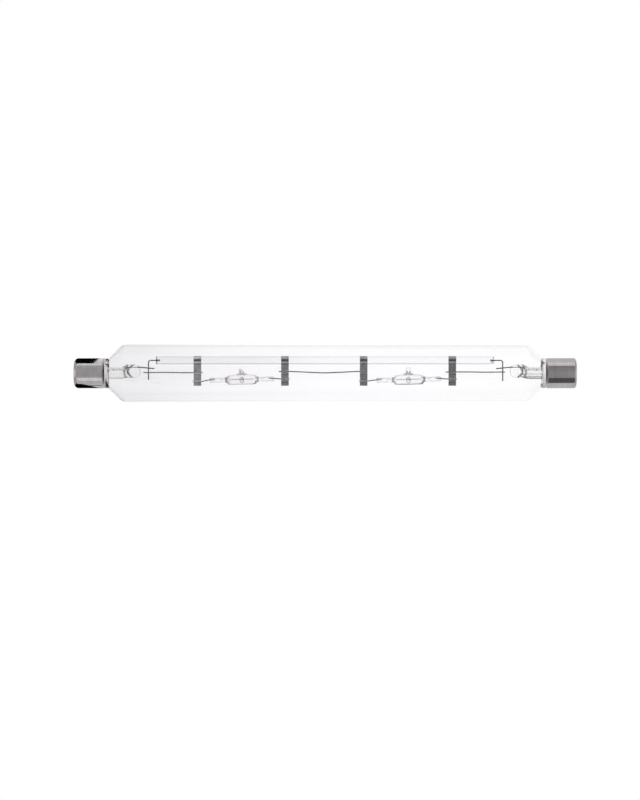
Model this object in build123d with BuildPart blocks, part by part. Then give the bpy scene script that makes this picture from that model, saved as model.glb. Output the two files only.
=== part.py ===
from build123d import *
import os
from math import cos, radians, sin, tan

# Festoon halogen lamp: a clear glass tube, closed at each end by a drawn metal cap, that
# holds two small quartz halogen capsules wired in series. A glass rod carries them: four
# folded straps grip the rod and the wires, and a hook wire at each end of the rod is welded
# to the lead-in wire that comes through the glass stem.
# X runs along the lamp, Z is up on the side of the rod, and the origin is the lamp's middle.
# Sizes are in millimetres. A size that differs between like pieces is kept by its place.

# Outer glass
lamp_length = 310.0
tube_diameter = 36.0
glass_wall = 0.9
shoulder_angle = 45.0
shoulder_radius = {"left": 4.0, "right": 6.5}
neck_fillet = 3.0
neck_setback = 7.0  # from the end of the lamp to the end of the glass neck

# Caps, their cement and their solder
cap_diameter = 18.7
cap_length = 18.5
cap_wall = 0.35
cap_corner = {"left": 2.2, "right": 1.2}
rim_roll = 0.25  # how far the rim is rolled in
rim_roll_length = 0.9
rim_bend = 1.0
dish_diameter = 6.4
dish_depth = 0.8
dish_slope = 0.7  # how far the dish's side runs in from its edge
dish_bend = 0.5
eyelet_diameter = 1.8
cement_thickness = 0.5
cement_setback = 1.0  # from the end of the glass neck to the end of the cement
collar_length = 2.7  # cement that shows between the rim and the glass shoulder
collar_inset = 0.3
solder_diameter = 3.6
solder_height = 0.65

# Stems
stem_length = 34.0  # from the end of the neck to the tip of the press
stem_diameter = 7.6
stem_wall = 1.0
flare_length = 6.5
press_length = 7.8
press_taper = 4.6  # where the round tube flattens into the press
press_width = 8.2
press_thickness = 3.2
press_rise = 1.3  # the press lies above the lamp's axis
press_round = 1.0
press_tip_radius = 3.4
pocket_thickness = 1.0  # the tube's bore narrows to this slit at the press
pocket_margin = 1.0
exhaust_diameter = 2.6
exhaust_bore = 1.3
exhaust_setback = 0.5  # from the end of the neck back to the sealed tip
exhaust_seal = 2.0  # length of the closed tip
exhaust_round = 1.0
exhaust_clearance = 0.2
port_depth = 3.0  # how far the exhaust bore runs into the press
exhaust_side = "right"

# Lead-in wires
lead_diameter = 0.75
seal_diameter = 0.42  # the thinner wire that the press seals
lead_entry = 1.7  # how far the thick wire runs into the press
bead_diameter = 0.9  # at the joints of the lead-in
bead_length = 1.0
bead_round = 0.25
bead_setback = 1.4  # from the root of the press
lead_margin = 1.8  # from the upper edge of the press
lead_clearance = 0.4  # from the upper side of the stem's bore
lead_straight = 0.7  # straight run before the wire enters the press
lead_jog = 2.4  # run over which it steps aside to pass the hook wire
lead_tail = {"left": 3.6, "right": 4.0}  # past the hook wire
lead_fall = 0.8  # the tail ends lower than the press
lead_joint = 4.0  # from the root of the stem's tube to the joint with the cap lead
lead_bend = 0.9
cap_lead_diameter = 0.5
cap_lead_run = 2.5  # run past the start of the flare
cap_lead_straight = 3.2
cap_lead_bend = 3.0
cap_lead_embed = 0.3  # into the solder, past the floor of the dish

# Support rod and hook wires
rod_diameter = 5.0
rod_height = 7.9
rod_round = 0.5
rod_gap = 9.6  # from the tip of a press to the rod's end
hook_diameter = 0.75
hook_reach = {"left": 4.6, "right": 5.2}  # from the end of the rod
hook_embed = 2.6
hook_drop = {"left": 12.0, "right": 12.8}
hook_bend = 1.4
weld_gap = 0.02  # between wires that cross and are welded

# Straps
strap_width = 4.7
strap_thickness = 0.3
strap_slit = 0.1
strap_fillet = 0.35
strap_drop = 15.6  # from the rod's centre to the foot of the legs
strap_inset = {"left": 25.6, "right": 25.9}  # from the end of the rod

# Link wires
link_diameter = 0.7
link_height = {"left": 0.4, "centre": 1.05, "right": 0.7}
link_tail = {"left": 3.1, "right": 1.5}  # past the hook wire
link_stub = {"left": 0.75, "right": 1.8}  # past the outer strap
link_cross = 2.0  # straight run at the hook wire
link_run = 1.5  # straight run at a strap
link_bend = 8.0
centre_stub = 1.5
centre_short = 0.5  # the far end stops this far inside its strap
centre_sag = 0.9

# Halogen capsules
capsule_length = 39.8
capsule_height = -3.75
capsule_tilt = {"left": 1.3, "right": 1.2}  # a capsule's left end hangs lower
bulb_diameter = 6.9
bulb_straight = 16.4
bulb_taper = 2.7
bulb_wall = 1.0
bulb_dome = 2.4  # length of the rounded end of the hollow
hollow_neck_diameter = 0.7
pinch_width = 6.8
pinch_thickness = 3.3
pinch_round = 1.1
tip_height = 3.4
tip_root = 0.6  # how far the tip is fused into the bulb's wall
tip_lean = {"left": 75.0, "right": 4.0}
skirt_length = 6.6  # where the tip spreads into the bulb
skirt_width = 3.2
skirt_height = 0.8
skirt_top = 2.8
tip_diameters = {"left": (3.0, 2.4, 2.1, 1.0), "right": (3.0, 2.4, 3.3, 1.2)}
foil_length = 5.2
foil_width = 2.0
foil_thickness = 0.06
foil_margin = 1.4  # from the root of the pinch
pin_diameter = 0.7
pin_overlap = 1.0  # on the foil
pin_straight = 0.5
pin_bend = 2.5
pin_stub = 0.5  # past the strap
lead_span = {"left_outer": 5.2, "left_inner": 4.3, "right_inner": 5.5, "right_outer": 4.7}
pin_height = {"left_outer": -5.1, "left_inner": -3.5, "right_inner": -4.8, "right_outer": -3.6}
coil_diameter = 0.8
coil_length = 15.6
leg_diameter = 0.3
leg_overlap = 0.9
support_diameter = 0.3
support_clearance = 0.06
support_tilt = 35.0
support_wrap = 120.0  # angle over which the support lies along the bulb's wall

# Places along the lamp, as distances from its middle
lamp_half = lamp_length / 2
rim_x = lamp_half - cap_length
dish_floor = lamp_half - dish_depth
neck_end = lamp_half - neck_setback
press_tip = neck_end - stem_length
press_root = press_tip + press_length
stem_root = press_root + press_taper
flare_start = neck_end - flare_length
exhaust_end = neck_end - exhaust_setback
rod_half = press_tip - rod_gap
hook_x = {side: rod_half + reach for side, reach in hook_reach.items()}

# Radii and heights that follow from the sizes above
tube_outer = tube_diameter / 2
cap_outer = cap_diameter / 2
cap_bore = cap_outer - cap_wall
neck_outer = cap_bore - cement_thickness
neck_bore = neck_outer - glass_wall
eyelet = eyelet_diameter / 2
stem_outer = stem_diameter / 2
stem_bore = stem_outer - stem_wall
rod_outer = rod_diameter / 2
bulb_outer = bulb_diameter / 2
bulb_bore = bulb_outer - bulb_wall
bulb_half = bulb_straight / 2 + bulb_taper
foil_start = bulb_half + foil_margin
foil_end = foil_start + foil_length
lead_height = press_rise + press_width / 2 - lead_margin
lead_bore_height = stem_bore - lead_diameter / 2 - lead_clearance
exhaust_height = exhaust_diameter / 2 + exhaust_clearance - stem_bore

# The shoulder's cone meets the cap's radius at the foot of the cement collar
shoulder_run = 1 / tan(radians(shoulder_angle))
collar_x = rim_x - collar_length
tube_corner = collar_x - (tube_outer - cap_outer) * shoulder_run
neck_corner = collar_x + (cap_outer - neck_outer) * shoulder_run

SIDES = {"left": -1, "right": 1}

# Straps and capsules, set out from the ends of the rod towards the middle
strap_places = {}
capsule_places = {}
for side, sign in SIDES.items():
    outer_strap = rod_half - strap_inset[side]
    outer_gap = strap_width / 2 + lead_span[side + "_outer"]
    inner_gap = strap_width / 2 + lead_span[side + "_inner"]
    capsule_middle = outer_strap - outer_gap - capsule_length / 2
    strap_places[side + "_outer"] = sign * outer_strap
    strap_places[side + "_inner"] = sign * (capsule_middle - capsule_length / 2 - inner_gap)
    capsule_places[side] = sign * capsule_middle


def end_plane(side):
    """The lamp's upright plane, with its local x pointing out through one end."""
    sign = SIDES[side]
    return Plane(origin=(0, 0, 0), x_dir=(sign, 0, 0), z_dir=(0, -sign, 0))


def cross_plane(sign, x, z=0.0):
    """A plane square to the lamp's axis at x, which faces along X by its sign."""
    return Plane(origin=(x, 0, z), x_dir=(0, 1, 0), z_dir=(sign, 0, 0))


def make_wire(points, diameter, bend):
    """A round wire through the points, bent with one radius."""
    with BuildPart() as wire:
        with BuildLine() as path:
            if len(points) == 2:
                Line(*points)
            else:
                FilletPolyline(*points, radius=bend)
        with BuildSketch(Plane(origin=path.line @ 0, z_dir=path.line % 0)):
            Circle(diameter / 2)
        sweep()
    return wire.part


def make_envelope_form():
    """The outer form of the glass as a full solid, for what is shaped against it."""
    with BuildPart() as form:
        with BuildSketch(Plane.XZ):
            with BuildLine():
                outline = envelope_outline()
                Polyline(outline @ 1, (neck_end, 0), (-neck_end, 0), outline @ 0)
            make_face()
        revolve(axis=Axis.X)
    return form.part


def envelope_outline():
    """The glass's outer profile, neck to neck, inside a line builder."""
    return FilletPolyline(
        (-neck_end, neck_outer),
        (-neck_corner, neck_outer),
        (-tube_corner, tube_outer),
        (tube_corner, tube_outer),
        (neck_corner, neck_outer),
        (neck_end, neck_outer),
        radius=[neck_fillet, shoulder_radius["left"], shoulder_radius["right"], neck_fillet],
    )


def make_envelope():
    """The blown glass tube, with a sloped shoulder and a neck at each end."""
    with BuildPart() as envelope:
        with BuildSketch(Plane.XZ):
            with BuildLine():
                envelope_outline()
                offset(amount=glass_wall, side=Side.RIGHT)
            make_face()
        revolve(axis=Axis.X)
    return envelope.part


def make_cap(side):
    """A drawn cup with a rolled rim and a dished, pierced end."""
    dish_edge = dish_diameter / 2
    with BuildPart() as cap:
        with BuildSketch(end_plane(side)):
            with BuildLine():
                FilletPolyline(
                    (rim_x, cap_outer - rim_roll),
                    (rim_x + rim_roll_length, cap_outer),
                    (lamp_half, cap_outer),
                    (lamp_half, dish_edge),
                    (dish_floor, dish_edge - dish_slope),
                    (dish_floor, eyelet),
                    radius=[rim_bend, cap_corner[side], dish_bend, dish_bend],
                )
                offset(amount=cap_wall, side=Side.RIGHT)
            make_face()
        revolve(axis=Axis.X)
    return cap.part


def make_cement(side, cap, envelope_form):
    """Cement between the neck and the cap, with a collar outside the rim."""
    inside_glass = neck_outer - glass_wall / 2
    collar_outer = cap_outer - collar_inset
    with BuildPart() as cement:
        with BuildSketch(end_plane(side)):
            with BuildLine():
                Polyline(
                    (neck_end - cement_setback, inside_glass),
                    (neck_end - cement_setback, cap_bore),
                    (rim_x, cap_bore),
                    (rim_x, collar_outer),
                    (collar_x, collar_outer),
                    (collar_x, inside_glass),
                    close=True,
                )
            make_face()
        revolve(axis=Axis.X)
        add(envelope_form, mode=Mode.SUBTRACT)
        add(cap, mode=Mode.SUBTRACT)
    return cement.part


def make_solder(side, cap_lead):
    """The solder bead in the cap's dish, with its plug in the eyelet."""
    with BuildPart() as solder:
        with BuildSketch(end_plane(side)):
            with BuildLine():
                Polyline(
                    (dish_floor + solder_height, 0),
                    (dish_floor - cap_wall, 0),
                    (dish_floor - cap_wall, eyelet),
                    (dish_floor, eyelet),
                    (dish_floor, solder_diameter / 2),
                )
                TangentArc(
                    (dish_floor + solder_height, 0),
                    (dish_floor, solder_diameter / 2),
                    tangent=(0, 1),
                )
            make_face()
        revolve(axis=Axis.X)
        add(cap_lead, mode=Mode.SUBTRACT)
    return solder.part


def make_stem(side, lead, exhaust):
    """A flared tube, pressed flat round the lead-in wire; one end has an exhaust tube."""
    sign = SIDES[side]
    pocket_width = press_width - 2 * pocket_margin
    rim_end = neck_end + stem_wall
    with BuildPart() as stem:
        # The flat press with its rounded tip
        with BuildSketch(end_plane(side)) as press:
            with Locations(((press_tip + press_root) / 2, press_rise)):
                Rectangle(press_length, press_width)
            fillet(press.vertices().group_by(Axis.X)[0], press_tip_radius)
        extrude(amount=press_thickness / 2, both=True)
        root = stem.faces().filter_by(Axis.X).sort_by(Axis.X)[-1 if sign > 0 else 0]
        faces = stem.faces().filter_by(Axis.Y)
        fillet([edge for edge in faces.edges() if edge not in root.edges()], press_round)

        # The taper into the round tube, and its bore
        with BuildSketch(cross_plane(sign, sign * press_root, press_rise)):
            RectangleRounded(press_thickness, press_width, press_round)
        with BuildSketch(cross_plane(sign, sign * stem_root)):
            Circle(stem_outer)
        loft()
        with BuildSketch(cross_plane(sign, sign * press_root, press_rise)):
            SlotOverall(pocket_width, pocket_thickness, rotation=90)
        with BuildSketch(cross_plane(sign, sign * stem_root)):
            Circle(stem_bore)
        loft(mode=Mode.SUBTRACT)

        # The tube and the flare that is fused to the end of the neck
        with BuildSketch(end_plane(side)):
            with BuildLine():
                TangentArc((flare_start, stem_outer), (neck_end, neck_bore), tangent=(1, 0))
                Polyline(
                    (neck_end, neck_bore),
                    (neck_end, neck_outer),
                    (rim_end, neck_outer),
                    (rim_end, neck_bore),
                )
                TangentArc((flare_start, stem_bore), (rim_end, neck_bore), tangent=(1, 0))
                Polyline(
                    (flare_start, stem_bore),
                    (stem_root, stem_bore),
                    (stem_root, stem_outer),
                    (flare_start, stem_outer),
                )
            make_face()
        revolve(axis=Axis.X)
        if exhaust:
            add(make_exhaust_tube(sign))
            add(make_exhaust_bore(sign), mode=Mode.SUBTRACT)
        add(lead, mode=Mode.SUBTRACT)
    return stem.part


def make_exhaust_tube(sign):
    """The sealed tube inside a stem that the lamp was pumped and filled through."""
    with BuildPart() as tube:
        with BuildSketch(cross_plane(sign, sign * press_root, exhaust_height)):
            Circle(exhaust_diameter / 2)
        extrude(amount=exhaust_end - press_root)
        tip = tube.faces().filter_by(Axis.X).sort_by(Axis.X)[-1 if sign > 0 else 0]
        fillet(tip.edges(), exhaust_round)
    return tube.part


def make_exhaust_bore(sign):
    """The bore of the exhaust tube, with its port through one face of the press."""
    bore = exhaust_bore / 2
    port_x = press_root - port_depth
    with BuildPart() as hollow:
        with BuildSketch(cross_plane(sign, sign * port_x, exhaust_height)):
            Circle(bore)
        extrude(amount=exhaust_end - exhaust_seal - port_x)
        with BuildSketch(Plane.XZ):
            with Locations((sign * (port_x + bore), exhaust_height)):
                Circle(bore)
        extrude(amount=press_thickness)
    return hollow.part


def make_bead(sign, x, height):
    """A short sleeve of weld on a wire that runs along X."""
    with BuildPart() as bead:
        with BuildSketch(cross_plane(sign, sign * (x - bead_length / 2), height)):
            Circle(bead_diameter / 2)
        extrude(amount=bead_length)
        fillet(bead.faces().filter_by(Axis.X).edges(), bead_round)
    return bead.part


def make_lead_in(side, cap_lead):
    """The wire from the hook wire's weld through the press into the stem's tube.

    It is thinner where the press seals it, with a bead of weld at each joint.
    """
    sign = SIDES[side]
    aside = (hook_diameter + lead_diameter) / 2 + weld_gap
    tail_x = hook_x[side] - lead_tail[side]
    enter_x = press_tip - lead_straight
    step_x = enter_x - lead_jog
    step_height = lead_height - lead_fall * lead_jog / (enter_x - tail_x)
    seal_x = press_tip + lead_entry
    bead_x = press_root - bead_setback
    joint_x = stem_root + lead_joint
    thick = [
        (sign * tail_x, aside, lead_height - lead_fall),
        (sign * step_x, aside, step_height),
        (sign * enter_x, 0, lead_height),
        (sign * seal_x, 0, lead_height),
    ]
    thin = [
        (sign * (seal_x - lead_entry / 2), 0, lead_height),
        (sign * press_root, 0, lead_height),
        (sign * stem_root, 0, lead_bore_height),
        (sign * joint_x, 0, lead_bore_height),
    ]
    with BuildPart() as lead:
        add(make_wire(thick, lead_diameter, lead_bend))
        add(make_wire(thin, seal_diameter, lead_bend))
        add(make_bead(sign, bead_x, lead_height))
        add(make_bead(sign, joint_x, lead_bore_height))
        add(cap_lead, mode=Mode.SUBTRACT)
    return lead.part


def make_cap_lead(side):
    """The thin wire from the lead-in's end, through the eyelet, into the solder."""
    sign = SIDES[side]
    return make_wire(
        [
            (sign * (stem_root + lead_joint), 0, lead_bore_height),
            (sign * (flare_start + cap_lead_run), 0, lead_bore_height),
            (sign * (dish_floor - cap_lead_straight), 0, 0),
            (sign * (dish_floor + cap_lead_embed), 0, 0),
        ],
        cap_lead_diameter,
        cap_lead_bend,
    )


def make_hook_wire(side):
    """The wire that is fused into the rod's end and bent down past the leads."""
    sign = SIDES[side]
    return make_wire(
        [
            (sign * (rod_half - hook_embed), 0, rod_height),
            (sign * hook_x[side], 0, rod_height),
            (sign * hook_x[side], 0, rod_height - hook_drop[side]),
        ],
        hook_diameter,
        hook_bend,
    )


def make_rod(hooks):
    """The glass rod, with fire-polished ends closed round the hook wires."""
    with BuildPart() as rod:
        with BuildSketch(Plane.YZ):
            with Locations((0, rod_height)):
                Circle(rod_outer)
        extrude(amount=rod_half, both=True)
        fillet(rod.faces().filter_by(Axis.X).edges(), rod_round)
        for hook in hooks:
            add(hook, mode=Mode.SUBTRACT)
    return rod.part


def make_strap(x, wires):
    """A metal strip folded round the rod, with legs that close on the wires below.

    Each wire is given as its height and its diameter.
    """
    leg = strap_slit / 2 + strap_thickness
    foot = rod_height - strap_drop
    with BuildPart() as strap:
        with BuildSketch(Plane.YZ.offset(x - strap_width / 2)) as strip:
            with Locations((0, rod_height)):
                Circle(rod_outer + strap_thickness)
            with Locations((0, rod_height - strap_drop / 2)):
                Rectangle(2 * leg, strap_drop)
            for height, diameter in wires:
                with Locations((0, height)):
                    Circle(diameter / 2 + strap_thickness)
            inner = [v for v in strip.vertices() if v.Y > foot + strap_thickness]
            fillet(inner, strap_fillet)
            with Locations((0, rod_height)):
                Circle(rod_outer, mode=Mode.SUBTRACT)
            with Locations((0, rod_height - strap_drop / 2)):
                Rectangle(strap_slit, strap_drop, mode=Mode.SUBTRACT)
            for height, diameter in wires:
                with Locations((0, height)):
                    Circle(diameter / 2, mode=Mode.SUBTRACT)
        extrude(amount=strap_width)
    return strap.part


def make_outer_link(side):
    """The wire from the hook wire's weld to the outer strap."""
    sign = SIDES[side]
    aside = -(hook_diameter + link_diameter) / 2 - weld_gap
    height = link_height[side]
    strap_x = abs(strap_places[side + "_outer"])
    strap_edge = strap_x + strap_width / 2
    return make_wire(
        [
            (sign * (hook_x[side] + link_tail[side]), aside, height),
            (sign * (hook_x[side] - link_cross), aside, height),
            (sign * (strap_edge + link_run), 0, height),
            (sign * (strap_x - strap_width / 2 - link_stub[side]), 0, height),
        ],
        link_diameter,
        link_bend,
    )


def make_centre_link():
    """The wire between the inner straps, which sags a little in the middle."""
    left = strap_places["left_inner"]
    right = strap_places["right_inner"]
    edge = strap_width / 2
    height = link_height["centre"]
    points = [
        (left - edge - centre_stub, 0, height),
        (left + edge + link_run, 0, height),
        ((left + right) / 2, 0, height - centre_sag),
        (right - edge - link_run, 0, height),
        (right + edge - centre_short, 0, height),
    ]
    return make_wire(points, link_diameter, link_bend)


def make_foil(centre, sign):
    """The thin molybdenum strip in a pinch, with its upper face on the capsule's axis."""
    middle = centre + sign * (foil_start + foil_end) / 2
    with BuildPart() as foil:
        with BuildSketch(Plane.XY.offset(capsule_height)):
            with Locations((middle, 0)):
                Rectangle(foil_length, foil_width)
        extrude(amount=-foil_thickness)
    return foil.part


def make_flat_cut(x, length):
    """The lower half of a wire's end, cut away so that it lies flat on a foil."""
    with BuildPart() as cut:
        with BuildSketch(Plane.XY.offset(capsule_height)):
            with Locations((x + length / 2, 0)):
                Rectangle(abs(length), foil_width)
        extrude(amount=-pin_diameter)
    return cut.part


def level_point(x, z, centre, tilt):
    """Where a point of the lamp lies in a capsule's own frame, before the capsule is tilted."""
    run = x - centre
    rise = z - capsule_height
    turn = radians(tilt)
    level_x = centre + run * cos(turn) + rise * sin(turn)
    level_z = capsule_height - run * sin(turn) + rise * cos(turn)
    return (level_x, 0, level_z)


def make_pin(centre, sign, strap_name, tilt):
    """The lead from a foil, out of the pinch and through a strap, in the capsule's own frame."""
    strap_x = strap_places[strap_name]
    height = pin_height[strap_name]
    edge = strap_width / 2
    inner = centre + sign * (foil_end - pin_overlap)
    bend_x = centre + sign * (capsule_length / 2 + pin_straight)
    points = [
        (inner, 0, capsule_height),
        (bend_x, 0, capsule_height),
        level_point(strap_x - sign * (edge + pin_straight), height, centre, tilt),
        level_point(strap_x + sign * (edge + pin_stub), height, centre, tilt),
    ]
    with BuildPart() as pin:
        add(make_wire(points, pin_diameter, pin_bend))
        add(make_flat_cut(inner, sign * pin_overlap), mode=Mode.SUBTRACT)
    return pin.part


def make_filament(centre):
    """The coil's outer form with its two legs, which lie flat on the foils."""
    leg_end = foil_start + leg_overlap
    with BuildPart() as filament:
        with BuildSketch(Plane.YZ.offset(centre)):
            with Locations((0, capsule_height)):
                Circle(coil_diameter / 2)
        extrude(amount=coil_length / 2, both=True)
        with BuildSketch(Plane.YZ.offset(centre)):
            with Locations((0, capsule_height)):
                Circle(leg_diameter / 2)
        extrude(amount=leg_end, both=True)
        for sign in (-1, 1):
            flat = make_flat_cut(centre + sign * foil_start, sign * leg_overlap)
            add(flat, mode=Mode.SUBTRACT)
    return filament.part


def make_filament_support(centre):
    """A curl of wire round the coil that widens, half turn by half turn, to the wall."""
    wire_radius = support_diameter / 2
    tilt = radians(support_tilt)
    ring = (coil_diameter / 2 + wire_radius + support_clearance) / cos(tilt)
    wall = bulb_bore - wire_radius - support_clearance
    stops = [ring, -ring, (ring + wall) / 2, -wall]
    frame = Plane((centre, 0, capsule_height), x_dir=(0, 0, 1), z_dir=(cos(tilt), sin(tilt), 0))
    with BuildPart() as support:
        with BuildLine(frame) as path:
            for turn, (start, stop) in enumerate(zip(stops, stops[1:])):
                CenterArc(((start + stop) / 2, 0), abs(start - stop) / 2, 180 * (turn % 2), 180)
            CenterArc((0, 0), wall, 180, support_wrap)
        with BuildSketch(Plane(origin=path.line @ 0, z_dir=path.line % 0)):
            Circle(wire_radius)
        sweep()
    return support.part


def make_tip(side, centre):
    """The tip where the capsule's filling tube was melted off: rings along a bent stalk."""
    rings = tip_diameters[side]
    lean = radians(tip_lean[side])
    stalk_radius = tip_height / lean
    base = capsule_height + bulb_outer
    with BuildPart() as tip:
        with BuildSketch(Plane((centre, 0, base - tip_root), x_dir=(0, 1, 0))):
            Circle(rings[0] / 2)
        for step, diameter in enumerate(rings[1:], start=1):
            turn = lean * step / (len(rings) - 1)
            place = (centre - stalk_radius * (1 - cos(turn)), 0, base + stalk_radius * sin(turn))
            with BuildSketch(Plane(place, x_dir=(0, 1, 0), z_dir=(-sin(turn), 0, cos(turn)))):
                Circle(diameter / 2)
        loft()
    return tip.part


def make_skirt(centre):
    """The low cone where a tip spreads out along its bulb."""
    base = capsule_height + bulb_outer
    with BuildPart() as skirt:
        with BuildSketch(Plane.XY.offset(base - tip_root)):
            with Locations((centre, 0)):
                Ellipse(skirt_length / 2, skirt_width / 2)
        with BuildSketch(Plane.XY.offset(base + skirt_height)):
            with Locations((centre, 0)):
                Ellipse(skirt_top / 2, skirt_top / 2.2)
        loft()
    return skirt.part


def make_capsule(side, centre, inner_pieces):
    """The quartz bulb with a flat pinch seal at each end and its melted tip."""
    upright = Plane((centre, 0, capsule_height), x_dir=(1, 0, 0), z_dir=(0, -1, 0))
    straight_end = bulb_straight / 2
    hollow_end = straight_end + bulb_dome
    hollow_neck = hollow_neck_diameter / 2
    with BuildPart() as capsule:
        with BuildSketch(cross_plane(1, centre, capsule_height)):
            Circle(bulb_outer)
        extrude(amount=straight_end, both=True)
        for sign in SIDES.values():
            pinch_root = cross_plane(sign, centre + sign * bulb_half, capsule_height)
            with BuildSketch(cross_plane(sign, centre + sign * straight_end, capsule_height)):
                Circle(bulb_outer)
            with BuildSketch(pinch_root):
                RectangleRounded(pinch_width, pinch_thickness, pinch_round)
            loft()
            with BuildSketch(pinch_root):
                RectangleRounded(pinch_width, pinch_thickness, pinch_round)
            extrude(amount=capsule_length / 2 - bulb_half)
        add(make_tip(side, centre))
        add(make_skirt(centre))
        with BuildSketch(upright):
            with BuildLine():
                for sign in SIDES.values():
                    TangentArc(
                        (sign * straight_end, bulb_bore),
                        (sign * hollow_end, hollow_neck),
                        tangent=(sign, 0),
                    )
                    Line((sign * hollow_end, hollow_neck), (sign * hollow_end, 0))
                Line((-straight_end, bulb_bore), (straight_end, bulb_bore))
                Line((-hollow_end, 0), (hollow_end, 0))
            make_face()
        revolve(axis=Axis((centre, 0, capsule_height), (1, 0, 0)), mode=Mode.SUBTRACT)
        for piece in inner_pieces:
            add(piece, mode=Mode.SUBTRACT)
    return capsule.part


# The outer glass, with a cap, a stem and the wires at each end
pieces = {"glass_envelope": make_envelope()}
envelope_form = make_envelope_form()
for side in SIDES:
    cap_lead = make_cap_lead(side)
    lead_in = make_lead_in(side, cap_lead)
    cap = make_cap(side)
    pieces[side + "_cap"] = cap
    pieces[side + "_cap_cement"] = make_cement(side, cap, envelope_form)
    pieces[side + "_cap_solder"] = make_solder(side, cap_lead)
    pieces[side + "_stem"] = make_stem(side, lead_in, exhaust=side == exhaust_side)
    pieces[side + "_lead_in"] = lead_in
    pieces[side + "_cap_lead"] = cap_lead
    pieces[side + "_hook_wire"] = make_hook_wire(side)
    pieces[side + "_link_wire"] = make_outer_link(side)

# The rod, and the wire between its inner straps
pieces["support_rod"] = make_rod([pieces[side + "_hook_wire"] for side in SIDES])
pieces["centre_link_wire"] = make_centre_link()

# The straps: an outer one holds its own side's link wire, an inner one the centre one
for name, x in strap_places.items():
    side, place = name.split("_")
    link = link_height[side if place == "outer" else "centre"]
    wires = [(link, link_diameter), (pin_height[name], pin_diameter)]
    pieces[name + "_strap"] = make_strap(x, wires)

# The capsules, each with its filament, foils and pins, made level and then tilted
for side, centre in capsule_places.items():
    tilt = capsule_tilt[side]
    filament = make_filament(centre)
    held = {side + "_filament": filament}
    for place, sign in (("outer", SIDES[side]), ("inner", -SIDES[side])):
        name = side + "_" + place
        held[name + "_foil"] = make_foil(centre, sign)
        held[name + "_pin"] = make_pin(centre, sign, name, tilt)
    capsule = make_capsule(side, centre, list(held.values()))
    support = make_filament_support(centre)
    hung = {**held, side + "_filament_support": support, side + "_capsule": capsule}
    pivot = Axis((centre, 0, capsule_height), (0, 1, 0))
    for name, piece in hung.items():
        pieces[name] = piece.rotate(pivot, -tilt)

os.makedirs("parts", exist_ok=True)
for name, piece in pieces.items():
    piece.label = name
    export_step(piece, f"parts/{name}.step")
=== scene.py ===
"""A festoon halogen lamp: a clear tube with two caps and two quartz capsules on a glass rod.

Sizes are in millimetres and become metres when a mesh is made. X runs along the lamp and Z is
up, on the side of the rod. Places come from the frame's nodes, and each new piece stands for
the node that it is worked out from.
"""
import logging
from dataclasses import dataclass, replace
from enum import Enum
from functools import reduce
from typing import Sequence

import bpy
import numpy as np
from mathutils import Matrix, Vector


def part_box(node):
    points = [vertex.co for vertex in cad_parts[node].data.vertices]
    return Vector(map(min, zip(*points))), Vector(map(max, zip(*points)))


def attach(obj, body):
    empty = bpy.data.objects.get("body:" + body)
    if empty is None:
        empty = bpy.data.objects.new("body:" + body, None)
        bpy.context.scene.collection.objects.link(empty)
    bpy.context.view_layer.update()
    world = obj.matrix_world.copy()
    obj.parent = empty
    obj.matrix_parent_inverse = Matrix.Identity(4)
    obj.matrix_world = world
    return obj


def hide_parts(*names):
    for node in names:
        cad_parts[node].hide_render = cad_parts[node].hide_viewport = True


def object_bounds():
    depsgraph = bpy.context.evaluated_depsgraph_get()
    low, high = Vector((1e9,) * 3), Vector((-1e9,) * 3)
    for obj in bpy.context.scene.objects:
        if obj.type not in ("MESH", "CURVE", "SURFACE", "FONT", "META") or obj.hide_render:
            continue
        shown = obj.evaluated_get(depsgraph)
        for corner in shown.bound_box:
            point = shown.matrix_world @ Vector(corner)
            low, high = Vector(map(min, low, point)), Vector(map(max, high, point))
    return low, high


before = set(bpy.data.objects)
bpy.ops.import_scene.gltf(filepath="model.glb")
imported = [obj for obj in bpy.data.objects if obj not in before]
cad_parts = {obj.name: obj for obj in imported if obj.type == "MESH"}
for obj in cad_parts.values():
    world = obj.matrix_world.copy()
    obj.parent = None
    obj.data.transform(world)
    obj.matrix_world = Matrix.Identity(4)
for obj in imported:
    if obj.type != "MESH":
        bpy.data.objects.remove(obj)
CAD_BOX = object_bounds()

MM = 0.001
BODY = "root"
ROUND = 2 * np.pi
QUARTER = np.pi / 2
SHARP = 40.0
ACROSS = (0.0, 1.0, 0.0)
Array = np.ndarray
Pair = tuple[float, float]
Triple = tuple[float, float, float]
Socket = bpy.types.NodeSocket
log = logging.getLogger("festoon_lamp")


class Named(Enum):
    """A choice whose name stands in the names of nodes and pieces."""

    @property
    def word(self) -> str:
        """The choice's name in small letters."""
        return self.name.lower()


class Side(Named):
    """The lamp's two ends, valued by their sign along X."""

    LEFT = -1
    RIGHT = 1

    def outward(self, points: Array | list[Triple]) -> Array:
        """Point what was worked out along +X to this end."""
        return np.asarray(points) * (self.value, 1, 1)


class Place(Named):
    """Where a strap, foil or pin stands on its side, valued by its direction from the capsule."""

    OUTER = 1
    INNER = -1


class Ends(Enum):
    """How a surface of rings is closed along its path."""

    LOOP = "the last ring joins the first"
    POLES = "a fan of triangles closes each end"


class Fuse(Enum):
    """How one closed mesh is joined with another."""

    ADD = "UNION"
    CUT = "DIFFERENCE"


# Arrays of points


def node_box(node: str) -> tuple[Array, Array]:
    """Give the lowest and the highest corner of a frame node in millimetres."""
    low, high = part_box(node)
    return np.array(low) / MM, np.array(high) / MM


def node_centre(node: str) -> Array:
    """Give the middle of a frame node's box in millimetres."""
    low, high = node_box(node)
    return (low + high) / 2


def node_span(node: str) -> Pair:
    """Give how far from the lamp's middle a frame node starts and stops along X, in millimetres."""
    near, far = sorted(abs(corner[0]) for corner in node_box(node))
    return near, far


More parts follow.
